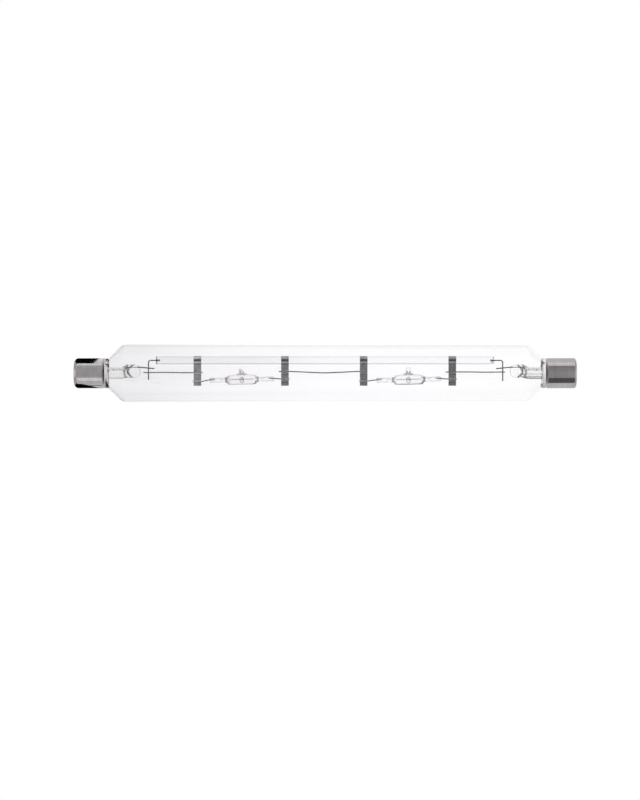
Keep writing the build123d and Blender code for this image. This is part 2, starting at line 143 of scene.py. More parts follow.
def joined(*parts: Array | float) -> Array:
    """Set coordinates side by side on a last axis, each spread to the shape of them all."""
    return np.stack(np.broadcast_arrays(*parts), axis=-1)


def mirrored(half: Array) -> Array:
    """Give places on both sides of nothing, from those on one side."""
    return np.concatenate([-half[::-1], half[1:]])


def unit(vectors: Array) -> Array:
    """Scale each vector of an array to a length of one."""
    return vectors / np.linalg.norm(vectors, axis=-1, keepdims=True)


def dome(share: Array) -> Array:
    """Give a half circle's height: the root of one less the share's square, and nothing past it."""
    return np.sqrt(np.clip(1 - share**2, 0, 1))


def round_end(share: Array) -> Array:
    """Rise from 0 to 1 along a quarter circle as a share goes from 0 to 1, and stay there."""
    return dome(1 - np.minimum(share, 1))


def cut_end(passed: Array) -> Array:
    """Give a wire's share of its radius near a cut end: 0.6, and 0.4 times a quarter circle more."""
    return 0.6 + 0.4 * round_end(passed)


def smooth_step(value: Array, start: float = 0.0, stop: float = 1.0) -> Array:
    """Rise from 0 at start to 1 at stop along a cubic with level ends."""
    t = np.clip((value - start) / (stop - start), 0, 1)
    return t * t * (3 - 2 * t)


def bell(value: Array, reach: float) -> Array:
    """Give a bell curve: the exponential of minus the square of the value over its reach."""
    return np.exp(-((value / reach) ** 2))


def waves(angle: Array, *terms: Triple) -> Array:
    """Add up sines of an angle, each term with its strength, its number of waves and its start."""
    return sum(strength * np.sin(count * angle + start) for strength, count, start in terms)


def soft_max(first: Array, second: Array | float, blend: float) -> Array:
    """Give the larger value, rounded: half of the sum plus the root of difference and blend squared."""
    return (first + second + np.sqrt((first - second) ** 2 + blend**2)) / 2


def bent_line(
    corners: Sequence[Sequence[float]], bends: Sequence[float], run_step: float, turn_step: float = 0.12
) -> Array:
    """Give the points of straight runs joined by tangent arcs, in two or three dimensions.

    An arc starts its radius times the tangent of half the turn before the corner. A point on it
    is the start plus the radius times (sine of the angle along the run, and one less its cosine
    square to it).

    Args:
        corners: The corners, first and last included.
        bends: The radius at each inner corner.
        run_step: Largest gap between points on a straight run.
        turn_step: Largest angle between points on an arc, in radians.

    Returns:
        The points in order.
    """
    corners = np.asarray(corners, float)
    ways = unit(np.diff(corners, axis=0))
    turns = np.arccos(np.clip((ways[:-1] * ways[1:]).sum(axis=1), -1, 1))
    setbacks = (np.asarray(bends, float) * np.tan(turns / 2))[:, None]
    starts = np.vstack([corners[:1], corners[1:-1] + ways[1:] * setbacks])
    stops = np.vstack([corners[1:-1] - ways[:-1] * setbacks, corners[-1:]])
    stretches = []
    for run, (start, stop) in enumerate(zip(starts, stops)):
        steps = max(int(np.ceil(np.linalg.norm(stop - start) / run_step)), 1)
        stretches.append(start + np.linspace(0, 1, steps + 1)[:, None] * (stop - start))
        if run < len(turns) and turns[run] > 1e-6:
            angle = np.linspace(0, turns[run], int(np.ceil(turns[run] / turn_step)) + 2)[1:-1, None]
            inward = unit(ways[run + 1] - ways[run] * np.cos(turns[run]))
            arc = np.sin(angle) * ways[run] + (1 - np.cos(angle)) * inward
            stretches.append(stop + bends[run] * arc)
    points = np.vstack(stretches)
    apart = np.linalg.norm(np.diff(points, axis=0), axis=1) > 1e-6
    return points[np.concatenate([[True], apart])]


def walled(outer: Array, wall: float) -> Array:
    """Close a flat profile with its copy moved to the right of its run by the wall's thickness."""
    way = unit(np.gradient(outer, axis=0))
    return np.vstack([outer, (outer + wall * joined(way[:, 1], -way[:, 0]))[::-1]])


def with_bevels(path: Array, bevel: float, steps: int = 4) -> tuple[Array, Array]:
    """Set extra points near the ends of a path and say how far each point is into its bevel.

    Args:
        path: Points along a line.
        bevel: Length of the bevel at each end.
        steps: Points on each bevel.

    Returns:
        The new points, and for each its distance from the nearer end over the bevel, up to one.
    """
    along = np.concatenate([[0], np.cumsum(np.linalg.norm(np.diff(path, axis=0), axis=1))])
    near = bevel * (1 - np.cos(np.linspace(0, QUARTER, steps)))
    middle = along[(along > 1.3 * bevel) & (along < along[-1] - 1.3 * bevel)]
    places = np.concatenate([near, middle, along[-1] - near[::-1]])
    points = joined(*(np.interp(places, along, axis) for axis in path.T))
    return points, np.clip(np.minimum(places, along[-1] - places) / bevel, 0, 1)


def circle_angles(sides: int) -> Array:
    """Give evenly spaced angles round a circle, without the closing one."""
    return np.linspace(0, ROUND, sides, endpoint=False)


def wire_rings(
    path: Array, radius: Array | float, sides: int, across: Sequence[float] | Array = ACROSS
) -> Array:
    """Carry a circle along a path.

    The ring's first axis is the given direction made square to the path, and the second is the
    cross product of the path's direction with the first. A point is the centre plus the radius
    times cosine and sine of its angle along the two axes.

    Args:
        path: Centres of the rings.
        radius: One radius, or one for each ring.
        sides: Points round a ring.
        across: A direction, or one for each ring, that is never along the path.

    Returns:
        An array of rings by points by three.
    """
    way = unit(np.gradient(path, axis=0))
    across = np.broadcast_to(np.asarray(across, float), path.shape)
    first = unit(across - (across * way).sum(axis=1, keepdims=True) * way)
    second = np.cross(way, first)
    angle = circle_angles(sides)[:, None]
    reach = np.broadcast_to(np.asarray(radius, float), len(path))[:, None, None]
    return path[:, None] + reach * (np.cos(angle) * first[:, None] + np.sin(angle) * second[:, None])


def turned_rings(profile: Array, sides: int, swell: Array | float = 0.0) -> Array:
    """Turn a profile of X and radius round X: a ring's point is X, radius times cosine and times sine."""
    radius, angle = profile[:, 1:] + swell, circle_angles(sides)
    return joined(profile[:, :1], radius * np.cos(angle), radius * np.sin(angle))


def squared_circle(sides: int, power: Array | float) -> tuple[Array, Array]:
    """Give a rounded square: cosine and sine, each with its size raised to two over the power."""
    angle = circle_angles(sides)
    return tuple(np.sign(part) * np.abs(part) ** (2 / power) for part in (np.cos(angle), np.sin(angle)))


def oval_rings(rows: Array, sides: int) -> Array:
    """Carry a rounded oval along X.

    At an angle, Y is the half width and Z the half height times the rounded square's points.

    Args:
        rows: For each ring its place along X, half width, half height, height and roundness.
        sides: Points round a ring.

    Returns:
        An array of rings by points by three.
    """
    x, half_y, half_z, lift, power = rows.T[..., None]
    across, upward = squared_circle(sides, power)
    return joined(x, half_y * across, half_z * upward + lift)


# Closed surfaces and pieces


@dataclass
class Skin:
    """A closed surface as whole arrays."""

    points: Array
    quads: Array  # Four point numbers for each face of the grid
    fans: Array  # Three point numbers for each triangle at a pole

    @classmethod
    def of_rings(cls, rings: Array, ends: Ends = Ends.POLES) -> "Skin":
        """Join rings of points into a closed surface.

        Args:
            rings: An array of rings by points by three.
            ends: How the first and the last ring are closed.

        Returns:
            The surface, with its faces turned outwards.
        """
        rows, sides = rings.shape[:2]
        number = np.arange(rows * sides).reshape(rows, sides)
        here, after = number[:-1], number[1:]
        points = rings.reshape(-1, 3)
        fans = np.empty((0, 3), int)
        if ends is Ends.LOOP:
            here, after = number, np.roll(number, -1, axis=0)
        else:
            first, last = number[0], number[-1]
            points = np.vstack([points, rings[0].mean(axis=0), rings[-1].mean(axis=0)])
            start_fan = joined(np.roll(first, -1), first, rows * sides)
            fans = np.vstack([start_fan, joined(last, np.roll(last, -1), rows * sides + 1)])
        quads = joined(here, np.roll(here, -1, axis=1), np.roll(after, -1, axis=1), after)
        skin = cls(points, quads.reshape(-1, 4), fans)
        return skin.flipped() if skin.volume() < 0 else skin

    def volume(self) -> float:
        """Sum the signed volumes between the origin and each triangle, a sixth of a box product."""
        a, b, c = self.points[np.vstack([self.quads[:, :3], self.quads[:, [0, 2, 3]], self.fans]).T]
        return float((a * np.cross(b, c)).sum() / 6)

    def flipped(self) -> "Skin":
        """Turn every face round."""
        return Skin(self.points, self.quads[:, ::-1], self.fans[:, ::-1])


def make_object(name: str, *skins: Skin, sharp: float = SHARP) -> bpy.types.Object:
    """Put closed surfaces into one mesh object at the origin.

    Args:
        name: The object's name.
        skins: The surfaces.
        sharp: Edges that turn by more than this many degrees stay sharp.

    Returns:
        The object, linked to the scene.
    """
    shifts = np.cumsum([0] + [len(skin.points) for skin in skins[:-1]])
    points = np.vstack([skin.points for skin in skins]) * MM
    quads = np.vstack([skin.quads + shift for skin, shift in zip(skins, shifts)])
    fans = np.vstack([skin.fans + shift for skin, shift in zip(skins, shifts)])
    corners = np.concatenate([quads.ravel(), fans.ravel()])
    counts = np.concatenate([np.full(len(quads), 4), np.full(len(fans), 3)])
    mesh = bpy.data.meshes.new(name)
    mesh.vertices.add(len(points))
    mesh.vertices.foreach_set("co", points.ravel())
    mesh.loops.add(len(corners))
    mesh.loops.foreach_set("vertex_index", corners)
    mesh.polygons.add(len(counts))
    mesh.polygons.foreach_set("loop_start", np.concatenate([[0], np.cumsum(counts)[:-1]]))
    mesh.update(calc_edges=True)
    made = bpy.data.objects.new(name, mesh)
    bpy.context.scene.collection.objects.link(made)
    smooth(made, sharp)
    return made


def smooth(made: bpy.types.Object, sharp: float) -> None:
    """Shade a mesh smooth, with edges over an angle in degrees kept sharp."""
    made.data.shade_smooth()
    made.data.set_sharp_from_angle(angle=np.radians(sharp))


def fuse(made: bpy.types.Object, other: bpy.types.Object, way: Fuse, sharp: float = SHARP) -> None:
    """Join one closed mesh with another and drop the other object.

    Args:
        made: The object that stays.
        other: The object that is added to it or cut from it.
        way: Whether it is added or cut.
        sharp: Edges that turn by more than this many degrees stay sharp.
    """
    modifier = made.modifiers.new("fuse", "BOOLEAN")
    modifier.operation = way.value
    modifier.solver = "EXACT"
    modifier.object = other
    shaped = made.evaluated_get(bpy.context.evaluated_depsgraph_get())
    old = made.data
    mesh = bpy.data.meshes.new_from_object(shaped)
    made.modifiers.clear()
    made.data = mesh
    mesh.name = old.name
    bpy.data.meshes.remove(old)
    bpy.data.objects.remove(other)
    smooth(made, sharp)


def wire_skin(path: Array, diameter: float, sides: int = 20) -> Skin:
    """Make a round wire along a path that is never along Y, with its cut ends slightly rounded."""
    points, passed = with_bevels(path, 0.25 * diameter)
    return Skin.of_rings(wire_rings(points, diameter / 2 * cut_end(passed), sides))


def bead_skin(centre: Sequence[float], reach: Sequence[float], sides: int = 24) -> Skin:
    """Make a small lump of weld metal.

    A ball with a half axis for each direction, whose radius swells by a tenth with the sine of
    twice and three times its angles.

    Args:
        centre: Its middle.
        reach: Its half axes.
        sides: Points round it.

    Returns:
        The closed surface.
    """
    rise = np.linspace(0, np.pi, sides // 2 + 1)[1:-1, None]
    angle = circle_angles(sides)
    swell = 1 + 0.1 * np.sin(2 * angle + 1.0) * np.sin(rise) + 0.05 * np.sin(3 * angle) * np.sin(2 * rise)
    around = swell * np.sin(rise)
    ball = joined(around * np.cos(angle), around * np.sin(angle), swell * np.cos(rise))
    return Skin.of_rings(np.asarray(centre) + ball * np.asarray(reach))


# Finishes

RANGE_INPUTS = ("Value", "From Min", "From Max", "To Min", "To Max")
FULL = (0.0, 1.0)
NOISE_MIDDLE = (0.35, 0.65)
NOISE_WIDE = (0.3, 0.7)
SPOT_CELLS = (1300, 1300, 1300)
SPOT_EDGE = (0.42, 0.5)
# Colour of the rings of painted shade in glass
GLASS_SHADE_COLOUR = (0.04, 0.04, 0.04)
CLOUD_CELLS = 0.4
GRAIN_SHARE = 0.35
# Share of a metal's stained colour in its bands of painted shade
SHADE_BAND_TONE = 0.1
CEMENT_GRAIN = (2600, 2600, 2600)
CEMENT_PATCH = (420, 420, 420)
CEMENT_GLOSS = (0.6, 0.9)
CEMENT_DEPTH = 0.12
PATCH_BLUR = 0.04
EDGE_BLUR = 0.3


class NodeSheet:
    """A node tree with short calls that add a node, set it and link it."""

    def __init__(self, tree: bpy.types.NodeTree) -> None:
        """Start from an empty tree."""
        self.tree = tree
        self.tree.nodes.clear()

    def put(self, value: object, socket: Socket) -> None:
        """Link an output socket to an input socket, or set a plain value there.

        Args:
            value: The output socket or the value.
            socket: The input socket.
        """
        if isinstance(value, Socket):
            self.tree.links.new(value, socket)
        else:
            socket.default_value = value

    def add(self, kind: str, inputs: dict | None = None, **settings: object) -> bpy.types.Node:
        """Add a node.

        Args:
            kind: The node's type name without the leading ShaderNode.
            inputs: Values or output sockets, by the name or number of the input.
            settings: The node's own properties.

        Returns:
            The node.
        """
        node = self.tree.nodes.new("ShaderNode" + kind)
        for name, value in settings.items():
            setattr(node, name, value)
        for name, value in (inputs or {}).items():
            self.put(value, node.inputs[name])
        return node

    def axes(self, kind: str = "Object") -> bpy.types.bpy_prop_collection:
        """Give the X, Y and Z sockets of a kind of coordinates."""
        return self.add("SeparateXYZ", {"Vector": self.add("TexCoord").outputs[kind]}).outputs

    def noise(self, scale: Sequence[float], detail: float = 3.0, roughness: float = 0.55) -> Socket:
        """Add noise on Object coordinates, with its own number of cells to the metre each way.

        Args:
            scale: Cells to the metre along X, Y and Z.
            detail: Octaves of the noise.
            roughness: Strength of the finer octaves.

        Returns:
            The noise's value.
        """
        place = self.add("TexCoord").outputs["Object"]
        turned = self.add("Mapping", {"Vector": place, "Scale": tuple(scale)}).outputs["Vector"]
        inputs = {"Vector": turned, "Scale": 1.0, "Detail": detail, "Roughness": roughness}
        return self.add("TexNoise", inputs).outputs["Fac"]

    def ranged(self, value: Socket, source: Sequence[float], target: Sequence[float] = FULL) -> Socket:
        """Map a value from one range to another, held at its ends."""
        inputs = dict(zip(RANGE_INPUTS, (value, *source, *target)))
        return self.add("MapRange", inputs).outputs["Result"]

    def maths(self, operation: str, *values: object) -> Socket:
        """Add a Math node on values or sockets."""
        return self.add("Math", dict(enumerate(values)), operation=operation).outputs["Value"]

    def times(self, *values: object) -> Socket:
        """Multiply values or sockets together."""
        return reduce(lambda product, value: self.maths("MULTIPLY", product, value), values)

    def vector(self, operation: str, *values: object, output: str = "Vector") -> Socket:
        """Add a Vector Math node on vectors, colours or sockets."""
        return self.add("VectorMath", dict(enumerate(values)), operation=operation).outputs[output]

    def blended(self, share: object, first: object, second: object) -> Socket:
        """Mix two colours.

        Args:
            share: How far the mix goes from the first to the second.
            first: A socket, or red, green and blue.
            second: The same for the other colour.

        Returns:
            The mixed colour.
        """
        node = self.add("Mix", {"Factor": share}, data_type="RGBA")
        colours = [socket for socket in node.inputs if socket.type == "RGBA"]
        for value, socket in zip((first, second), colours):
            self.put(value if isinstance(value, Socket) else (*value, 1.0), socket)
        return next(socket for socket in node.outputs if socket.type == "RGBA")

    def bumped(self, height: Socket, depth: float) -> Socket:
        """Turn a height of the given depth in millimetres into a normal."""
        return self.add("Bump", {"Height": height, "Distance": depth * MM, "Strength": 1.0}).outputs["Normal"]

    def surface(self, shader: bpy.types.Node, output: str = "OutputMaterial") -> None:
        """Lead a shader to the tree's output."""
        self.add(output, {"Surface": shader.outputs[0]})


def new_material(name: str) -> tuple[bpy.types.Material, NodeSheet]:
    """Make a material with an empty node tree.

    Args:
        name: The material's name.

    Returns:
        The material and the sheet of its nodes.
    """
    made = bpy.data.materials.new(name)
    made.use_nodes = True
    return made, NodeSheet(made.node_tree)


@dataclass(frozen=True)
class GlassShade:
    """A dark ring of painted shade in glass, at a distance from a point."""

    centre: Triple
    reach: Triple  # How much each axis counts in the distance
    place: float
    half: float
    depth: float  # From nothing to one
    mottle: float = 0.0  # Share that is broken up into spots
    span: float = 100.0  # Height from the point past which the ring ends
    bow: float = 0.0  # How much nearer it is at a height of one, growing with its square

    def laid(self, sheet: NodeSheet, colour: Socket) -> Socket:
        """Darken a colour in the ring with painted shade.

        Args:
            sheet: The node tree.
            colour: The colour.

        Returns:
            The colour with the ring.
        """
        place = sheet.add("TexCoord").outputs["Object"]
        aside = sheet.vector("SUBTRACT", place, tuple(part * MM for part in self.centre))
        away = sheet.vector("LENGTH", sheet.vector("MULTIPLY", aside, self.reach), output="Value")
        height = sheet.maths("ABSOLUTE", sheet.add("SeparateXYZ", {"Vector": aside}).outputs["Z"])
        away = sheet.maths("MULTIPLY_ADD", sheet.maths("POWER", height, 2.0), self.bow / MM, away)
        away = sheet.maths("ABSOLUTE", sheet.maths("SUBTRACT", away, self.place * MM))
        inside = sheet.ranged(away, (0.5 * self.half * MM, 1.5 * self.half * MM), (self.depth, 0))
        spots = sheet.ranged(sheet.noise(SPOT_CELLS, 2.0), SPOT_EDGE, (1 - self.mottle, 1))
        within = sheet.ranged(height, (0.8 * self.span * MM, 1.2 * self.span * MM), (1, 0))
        return sheet.blended(sheet.times(inside, spots, within), colour, GLASS_SHADE_COLOUR)


@dataclass(frozen=True)
class ShadeBand:
    """A band of painted shade on a metal piece, on both sides of the middle."""

    axis: str  # The axis that its place is measured on
    place: float  # Its distance from the middle
    half: float
    depth: float  # From nothing to one
    span: float = 100.0  # Height from the axis past which it ends

    def laid(self, sheet: NodeSheet, colour: Socket, grain: Socket, tone: Triple) -> Socket:
        """Darken a colour in the band with painted shade, whose edge the grain makes uneven.

        Args:
            sheet: The node tree.
            colour: The colour.
            grain: The metal's grain.
            tone: The colour in the band.

        Returns:
            The colour with the band.
        """
        place = sheet.axes()
        away = sheet.maths("SUBTRACT", sheet.maths("ABSOLUTE", place[self.axis]), self.place * MM)
        away = sheet.maths("MULTIPLY_ADD", grain, self.half * 0.4 * MM, sheet.maths("ABSOLUTE", away))
        inside = sheet.ranged(away, (0.9 * self.half * MM, 1.5 * self.half * MM), (self.depth, 0))
        height = sheet.maths("ABSOLUTE", place["Z"])
        within = sheet.ranged(height, (0.85 * self.span * MM, 1.1 * self.span * MM), (1, 0))
        return sheet.blended(sheet.times(inside, within), colour, tone)


@dataclass(frozen=True)
class Finish:
    """What a piece is dressed in."""

    name: str
    slot: str

    def inputs(self, sheet: NodeSheet) -> dict[str, object]:
        """Give the shader's inputs by name, which each kind of finish works out for itself."""
        raise NotImplementedError(self.name)

    def material(self) -> bpy.types.Material:
        """Build the material, or give it if it is there already.

        Returns:
            The material.
        """
        found = bpy.data.materials.get(self.name)
        if found:
            return found
        made, sheet = new_material(self.name)
        sheet.surface(sheet.add("BsdfPrincipled", self.inputs(sheet)))
        return made


@dataclass(frozen=True)
class GlassFinish(Finish):
    """Clear glass with the faint ripple that drawing and flame working leave."""

    tint: Triple  # The colour that a wall passes
    tint_deep: Triple  # The same where it is cloudy
    ior: float
    ripple: Triple  # Cells to the metre along X, Y and Z
    depth: float
    painted_shades: tuple[GlassShade, ...] = ()  # Rings of painted shade

    def inputs(self, sheet: NodeSheet) -> dict[str, object]:
        """Give the glass's cloudy tint with its rings of painted shade, and its ripple as a bump.

        Args:
            sheet: The node tree.

        Returns:
            The shader's inputs by name.
        """
        ripple = sheet.noise(self.ripple, 2.0)
        cloud = sheet.noise([CLOUD_CELLS * cells for cells in self.ripple], 2.0)
        colour = sheet.blended(sheet.ranged(cloud, NOISE_MIDDLE), self.tint, self.tint_deep)
        for painted_ring in self.painted_shades:
            colour = painted_ring.laid(sheet, colour)
        return {
            "Base Color": colour,
            "Roughness": 0.0,
            "IOR": self.ior,
            "Transmission Weight": 1.0,
            "Normal": sheet.bumped(ripple, self.depth),
        }


@dataclass(frozen=True)
class MetalFinish(Finish):
    """Bare or plated metal with grain, cloudy stains, uneven gloss and any bands of painted shade."""

    light: Triple  # Its colour where it is clean
    dark: Triple  # Its colour where it is stained
    grain: Triple  # Cells to the metre along X, Y and Z
    cloud: Triple  # The same for the stains
    gloss: Pair = (0.25, 0.5)  # Least and greatest roughness
    depth: float = 0.01
    bands: tuple[ShadeBand, ...] = ()  # Bands of painted shade

    def inputs(self, sheet: NodeSheet) -> dict[str, object]:
        """Give the metal's stained colour with its bands of painted shade, its gloss, and its grain as a
        bump.

        Args:
            sheet: The node tree.

        Returns:
            The shader's inputs by name.
        """
        grain = sheet.noise(self.grain, 4.0, 0.6)
        cloud = sheet.noise(self.cloud, 4.0)
        both = sheet.maths("MULTIPLY_ADD", grain, GRAIN_SHARE, sheet.times(cloud, 1 - GRAIN_SHARE))
        colour = sheet.blended(sheet.ranged(both, NOISE_MIDDLE), self.light, self.dark)
        for shade_band in self.bands:
            colour = shade_band.laid(sheet, colour, grain, tuple(SHADE_BAND_TONE * part for part in self.dark))
        return {
            "Base Color": colour,
            "Metallic": 1.0,
            "Roughness": sheet.ranged(both, NOISE_WIDE, self.gloss),
            "Normal": sheet.bumped(grain, self.depth),
        }


@dataclass(frozen=True)
class CementFinish(Finish):
    """Hard capping cement, pale and grainy, with patches of painted shade above and below, at its foot."""

    pale: Triple
    shade: Triple  # Its colour in the hollows of the grain
    painted_shade: Triple  # Its colour in the patches of painted shade
    patch_height: float  # Height from the axis past which the painted shade lies
    patch_edge: float  # From the middle along X, within which the painted shade lies
    patch_share: float  # Value of the noise past which a place gets the painted shade

    def inputs(self, sheet: NodeSheet) -> dict[str, object]:
        """Give the cement's grainy colour with its patches of painted shade, its gloss and its grain.

        Args:
            sheet: The node tree.

        Returns:
            The shader's inputs by name.
        """
        grain = sheet.noise(CEMENT_GRAIN, 5.0, 0.65)
        patch = sheet.noise(CEMENT_PATCH)
        place = sheet.axes()
        # Painted shade: dark patches high above and below the axis, near the cement's foot, broken up by
        # noise.
        start, edge = self.patch_height * MM, self.patch_edge * MM
        high = sheet.ranged(sheet.maths("ABSOLUTE", place["Z"]), (0.75 * start, 1.25 * start))
        away = sheet.maths("ABSOLUTE", place["X"])
        at_foot = sheet.ranged(away, (edge - EDGE_BLUR * MM, edge + EDGE_BLUR * MM), (1, 0))
        dotted = sheet.ranged(patch, (self.patch_share - PATCH_BLUR, self.patch_share + PATCH_BLUR))
        ground = sheet.blended(sheet.ranged(grain, NOISE_MIDDLE), self.shade, self.pale)
        return {
            "Base Color": sheet.blended(sheet.times(high, at_foot, dotted), ground, self.painted_shade),
            "Roughness": sheet.ranged(grain, NOISE_WIDE, CEMENT_GLOSS),
            "Normal": sheet.bumped(grain, CEMENT_DEPTH),
        }


TUBE_GLASS = GlassFinish(
    "clear_tube_glass", "clear_glass", (0.999, 0.999, 1.0), (0.992, 0.991, 0.996), 1.50, (18, 70, 70), 0.006
)
# Its rings are painted shade: dark bowed bands across each stem's press.
STEM_GLASS = GlassFinish(
    "stem_glass", "clear_glass", (0.995, 0.997, 0.996), (0.975, 0.98, 0.978), 1.54, (160, 420, 420), 0.02,
    (
        GlassShade((0, 0, 1.1), (1, 0, 0), 121.6, 0.8, 0.99, mottle=0.9, bow=0.2),
        GlassShade((0, 0, 0.6), (1, 0, 0), 124.0, 0.8, 0.6, mottle=0.8, bow=0.12),
    ),
)
# Its rings are painted shade: dark ticks at the rod's ends, and a faint darkening over its left half.
ROD_GLASS = GlassFinish(
    "rod_glass", "clear_glass", (0.98, 0.98, 0.984), (0.962, 0.962, 0.97), 1.51, (25, 220, 220), 0.006,
    (
        GlassShade((-104.0, 0, 7.9), (1, 0, 0), 0, 0.4, 0.95, mottle=0.4),
        GlassShade((103.7, 0, 9.4), (1, 0, 0.5), 0, 0.4, 0.9),
        GlassShade((103.2, 0, 6.8), (0.55, 0, 1), 0, 0.5, 0.9),
        GlassShade((-70, 0, 0), (1, 0, 0), 0, 45, 0.07),
    ),
)
QUARTZ = GlassFinish(
    "capsule_quartz", "quartz", (0.998, 0.99, 0.994), (0.985, 0.965, 0.975), 1.46, (220, 380, 380), 0.02
)
CLEAR_QUARTZ = replace(QUARTZ, tint=(0.998, 0.998, 0.999), tint_deep=(0.985, 0.984, 0.988))
# The band is painted shade: a dark line round each cap's rim, at middle heights.
CAP_METAL = MetalFinish(
    "drawn_cap_metal", "cap_metal", (0.64, 0.61, 0.62), (0.5, 0.475, 0.485), (1500, 60, 60), (260, 160, 160),
    gloss=(0.03, 0.08), depth=0.0002, bands=(ShadeBand("X", 136.4, 0.32, 0.92, 5.2),)
)
SOLDER = MetalFinish(
    "cap_solder", "solder", (0.66, 0.66, 0.65), (0.42, 0.42, 0.42), (900, 900, 900), (500, 500, 500),
    gloss=(0.2, 0.5), depth=0.03
)
WIRE_METAL = MetalFinish(
    "drawn_wire", "wire", (0.3, 0.29, 0.29), (0.15, 0.145, 0.145), (400, 5000, 5000), (300, 700, 700)
)
COPPER = MetalFinish(
    "cap_lead_copper", "copper_wire", (0.86, 0.66, 0.54), (0.66, 0.44, 0.34), (400, 4000, 4000),
    (300, 700, 700)
)
# The bands are painted reflection and painted shade: dark at the loop's top, under the loop and at the link
# wire's height.
STRAP_METAL = MetalFinish(
    "rolled_strap", "strap_metal", (0.56, 0.55, 0.56), (0.36, 0.355, 0.365), (2600, 300, 300),
    (700, 200, 200), gloss=(0.16, 0.3), depth=0.012,
    bands=(ShadeBand("Z", 8.05, 0.75, 0.8), ShadeBand("Z", 5.85, 0.35, 0.6), ShadeBand("Z", 0.8, 0.25, 0.35))
)
PIN_METAL = MetalFinish(
    "capsule_pin_wire", "capsule_pin", (0.4, 0.4, 0.41), (0.2, 0.2, 0.21), (500, 5000, 5000), (400, 800, 800)
)
FOIL_METAL = MetalFinish(
    "seal_foil", "capsule_foil", (0.56, 0.56, 0.57), (0.38, 0.38, 0.39), (300, 3500, 3500), (600, 600, 600),
    gloss=(0.15, 0.35), depth=0.006
)
TUNGSTEN = MetalFinish(
    "tungsten_coil", "tungsten", (0.6, 0.6, 0.61), (0.42, 0.42, 0.43), (3000, 3000, 3000), (900, 900, 900),
    gloss=(0.3, 0.5), depth=0.004
)
COIL_SUPPORT = replace(
    TUNGSTEN, name="coil_support_wire", light=(0.13, 0.13, 0.135), dark=(0.06, 0.06, 0.065)
)
# Its dark patches are painted shade at the cement's foot, above and below.
CEMENT_WITH_SHADE = CementFinish(
    "cement_with_painted_shade", "cap_cement", (0.84, 0.83, 0.815), (0.64, 0.63, 0.62), (0.06, 0.056, 0.053),
    patch_height=4.0, patch_edge=135.3, patch_share=0.40
)
PALE_CEMENT = replace(
    CEMENT_WITH_SHADE, name="pale_cement", pale=(0.95, 0.945, 0.94), shade=(0.78, 0.775, 0.77),
    painted_shade=(0.22, 0.21, 0.2), patch_height=5.2, patch_share=0.52
)


def settle(made: bpy.types.Object, finish: Finish, node: str) -> None:
    """Dress a piece, put it on the lamp in place of a node and report it.

    Args:
        made: The piece.
        finish: Its finish.
        node: The frame node that it stands for.
    """
    made.data.materials.clear()
    made.data.materials.append(finish.material())
    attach(made, BODY)
    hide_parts(node)
    log.info("%s: %d faces, for %s", made.name, len(made.data.polygons), node)


def add_piece(name: str, finish: Finish, node: str, *skins: Skin, sharp: float = SHARP) -> None:
    """Make a piece of closed surfaces and settle it in place of a node."""
    settle(make_object(name, *skins, sharp=sharp), finish, node)


# The outer glass and the caps


@dataclass
class Envelope:
    """The blown glass tube, with a sloped shoulder and a neck at each end."""

    wall: float = 0.9
    neck_radius: float = 8.5
    neck_bend: float = 3.0  # Radius where a neck meets its shoulder
    tube_bend: float = 6.5  # Radius where a shoulder meets the tube
    collar_length: float = 2.7  # Cement that shows past the rim
    worked_place: float = 127.0  # From the middle to a hand-worked shoulder
    worked_reach: float = 4.5
    worked_depth: float = 0.12
    sides: int = 192

    def outline(self) -> Array:
        """Give the outer profile, neck to neck, with 45 degree shoulders.

        Returns:
            Points as distance along X and radius.
        """
        _, high = node_box("glass_envelope")
        cap_low, cap_high = node_box("right_cap")
        tube_radius = high[2]
        collar = cap_low[0] - self.collar_length
        neck_corner = collar + cap_high[2] - self.neck_radius
        tube_corner = collar - (tube_radius - cap_high[2])
        right = [(tube_corner, tube_radius), (neck_corner, self.neck_radius), (high[0], self.neck_radius)]
        left = [(-x, radius) for x, radius in right[::-1]]
        bends = [self.neck_bend, self.tube_bend, self.tube_bend, self.neck_bend]
        return bent_line(left + right, bends, 5.0, 0.07)

    def build(self) -> None:
        """Turn the wall's closed profile round the lamp's axis.

        The radius falls by a tenth of a millimetre at the hand-worked shoulders, with the cosine
        of twice and three times the angle under a bell curve of X.
        """
        profile = walled(self.outline(), self.wall)
        angle = circle_angles(self.sides)
        x = profile[:, :1]
        worked = bell(np.abs(x) - self.worked_place, self.worked_reach)
        uneven = np.cos(2 * angle + 0.6 * np.sign(x)) + 0.6 * np.cos(3 * angle - 0.9 + np.sign(x))
        swell = -self.worked_depth * worked * (1.6 + uneven) / 3.2
        skin = Skin.of_rings(turned_rings(profile, self.sides, swell), Ends.LOOP)
        add_piece("envelope_glass", TUBE_GLASS, "glass_envelope", skin)


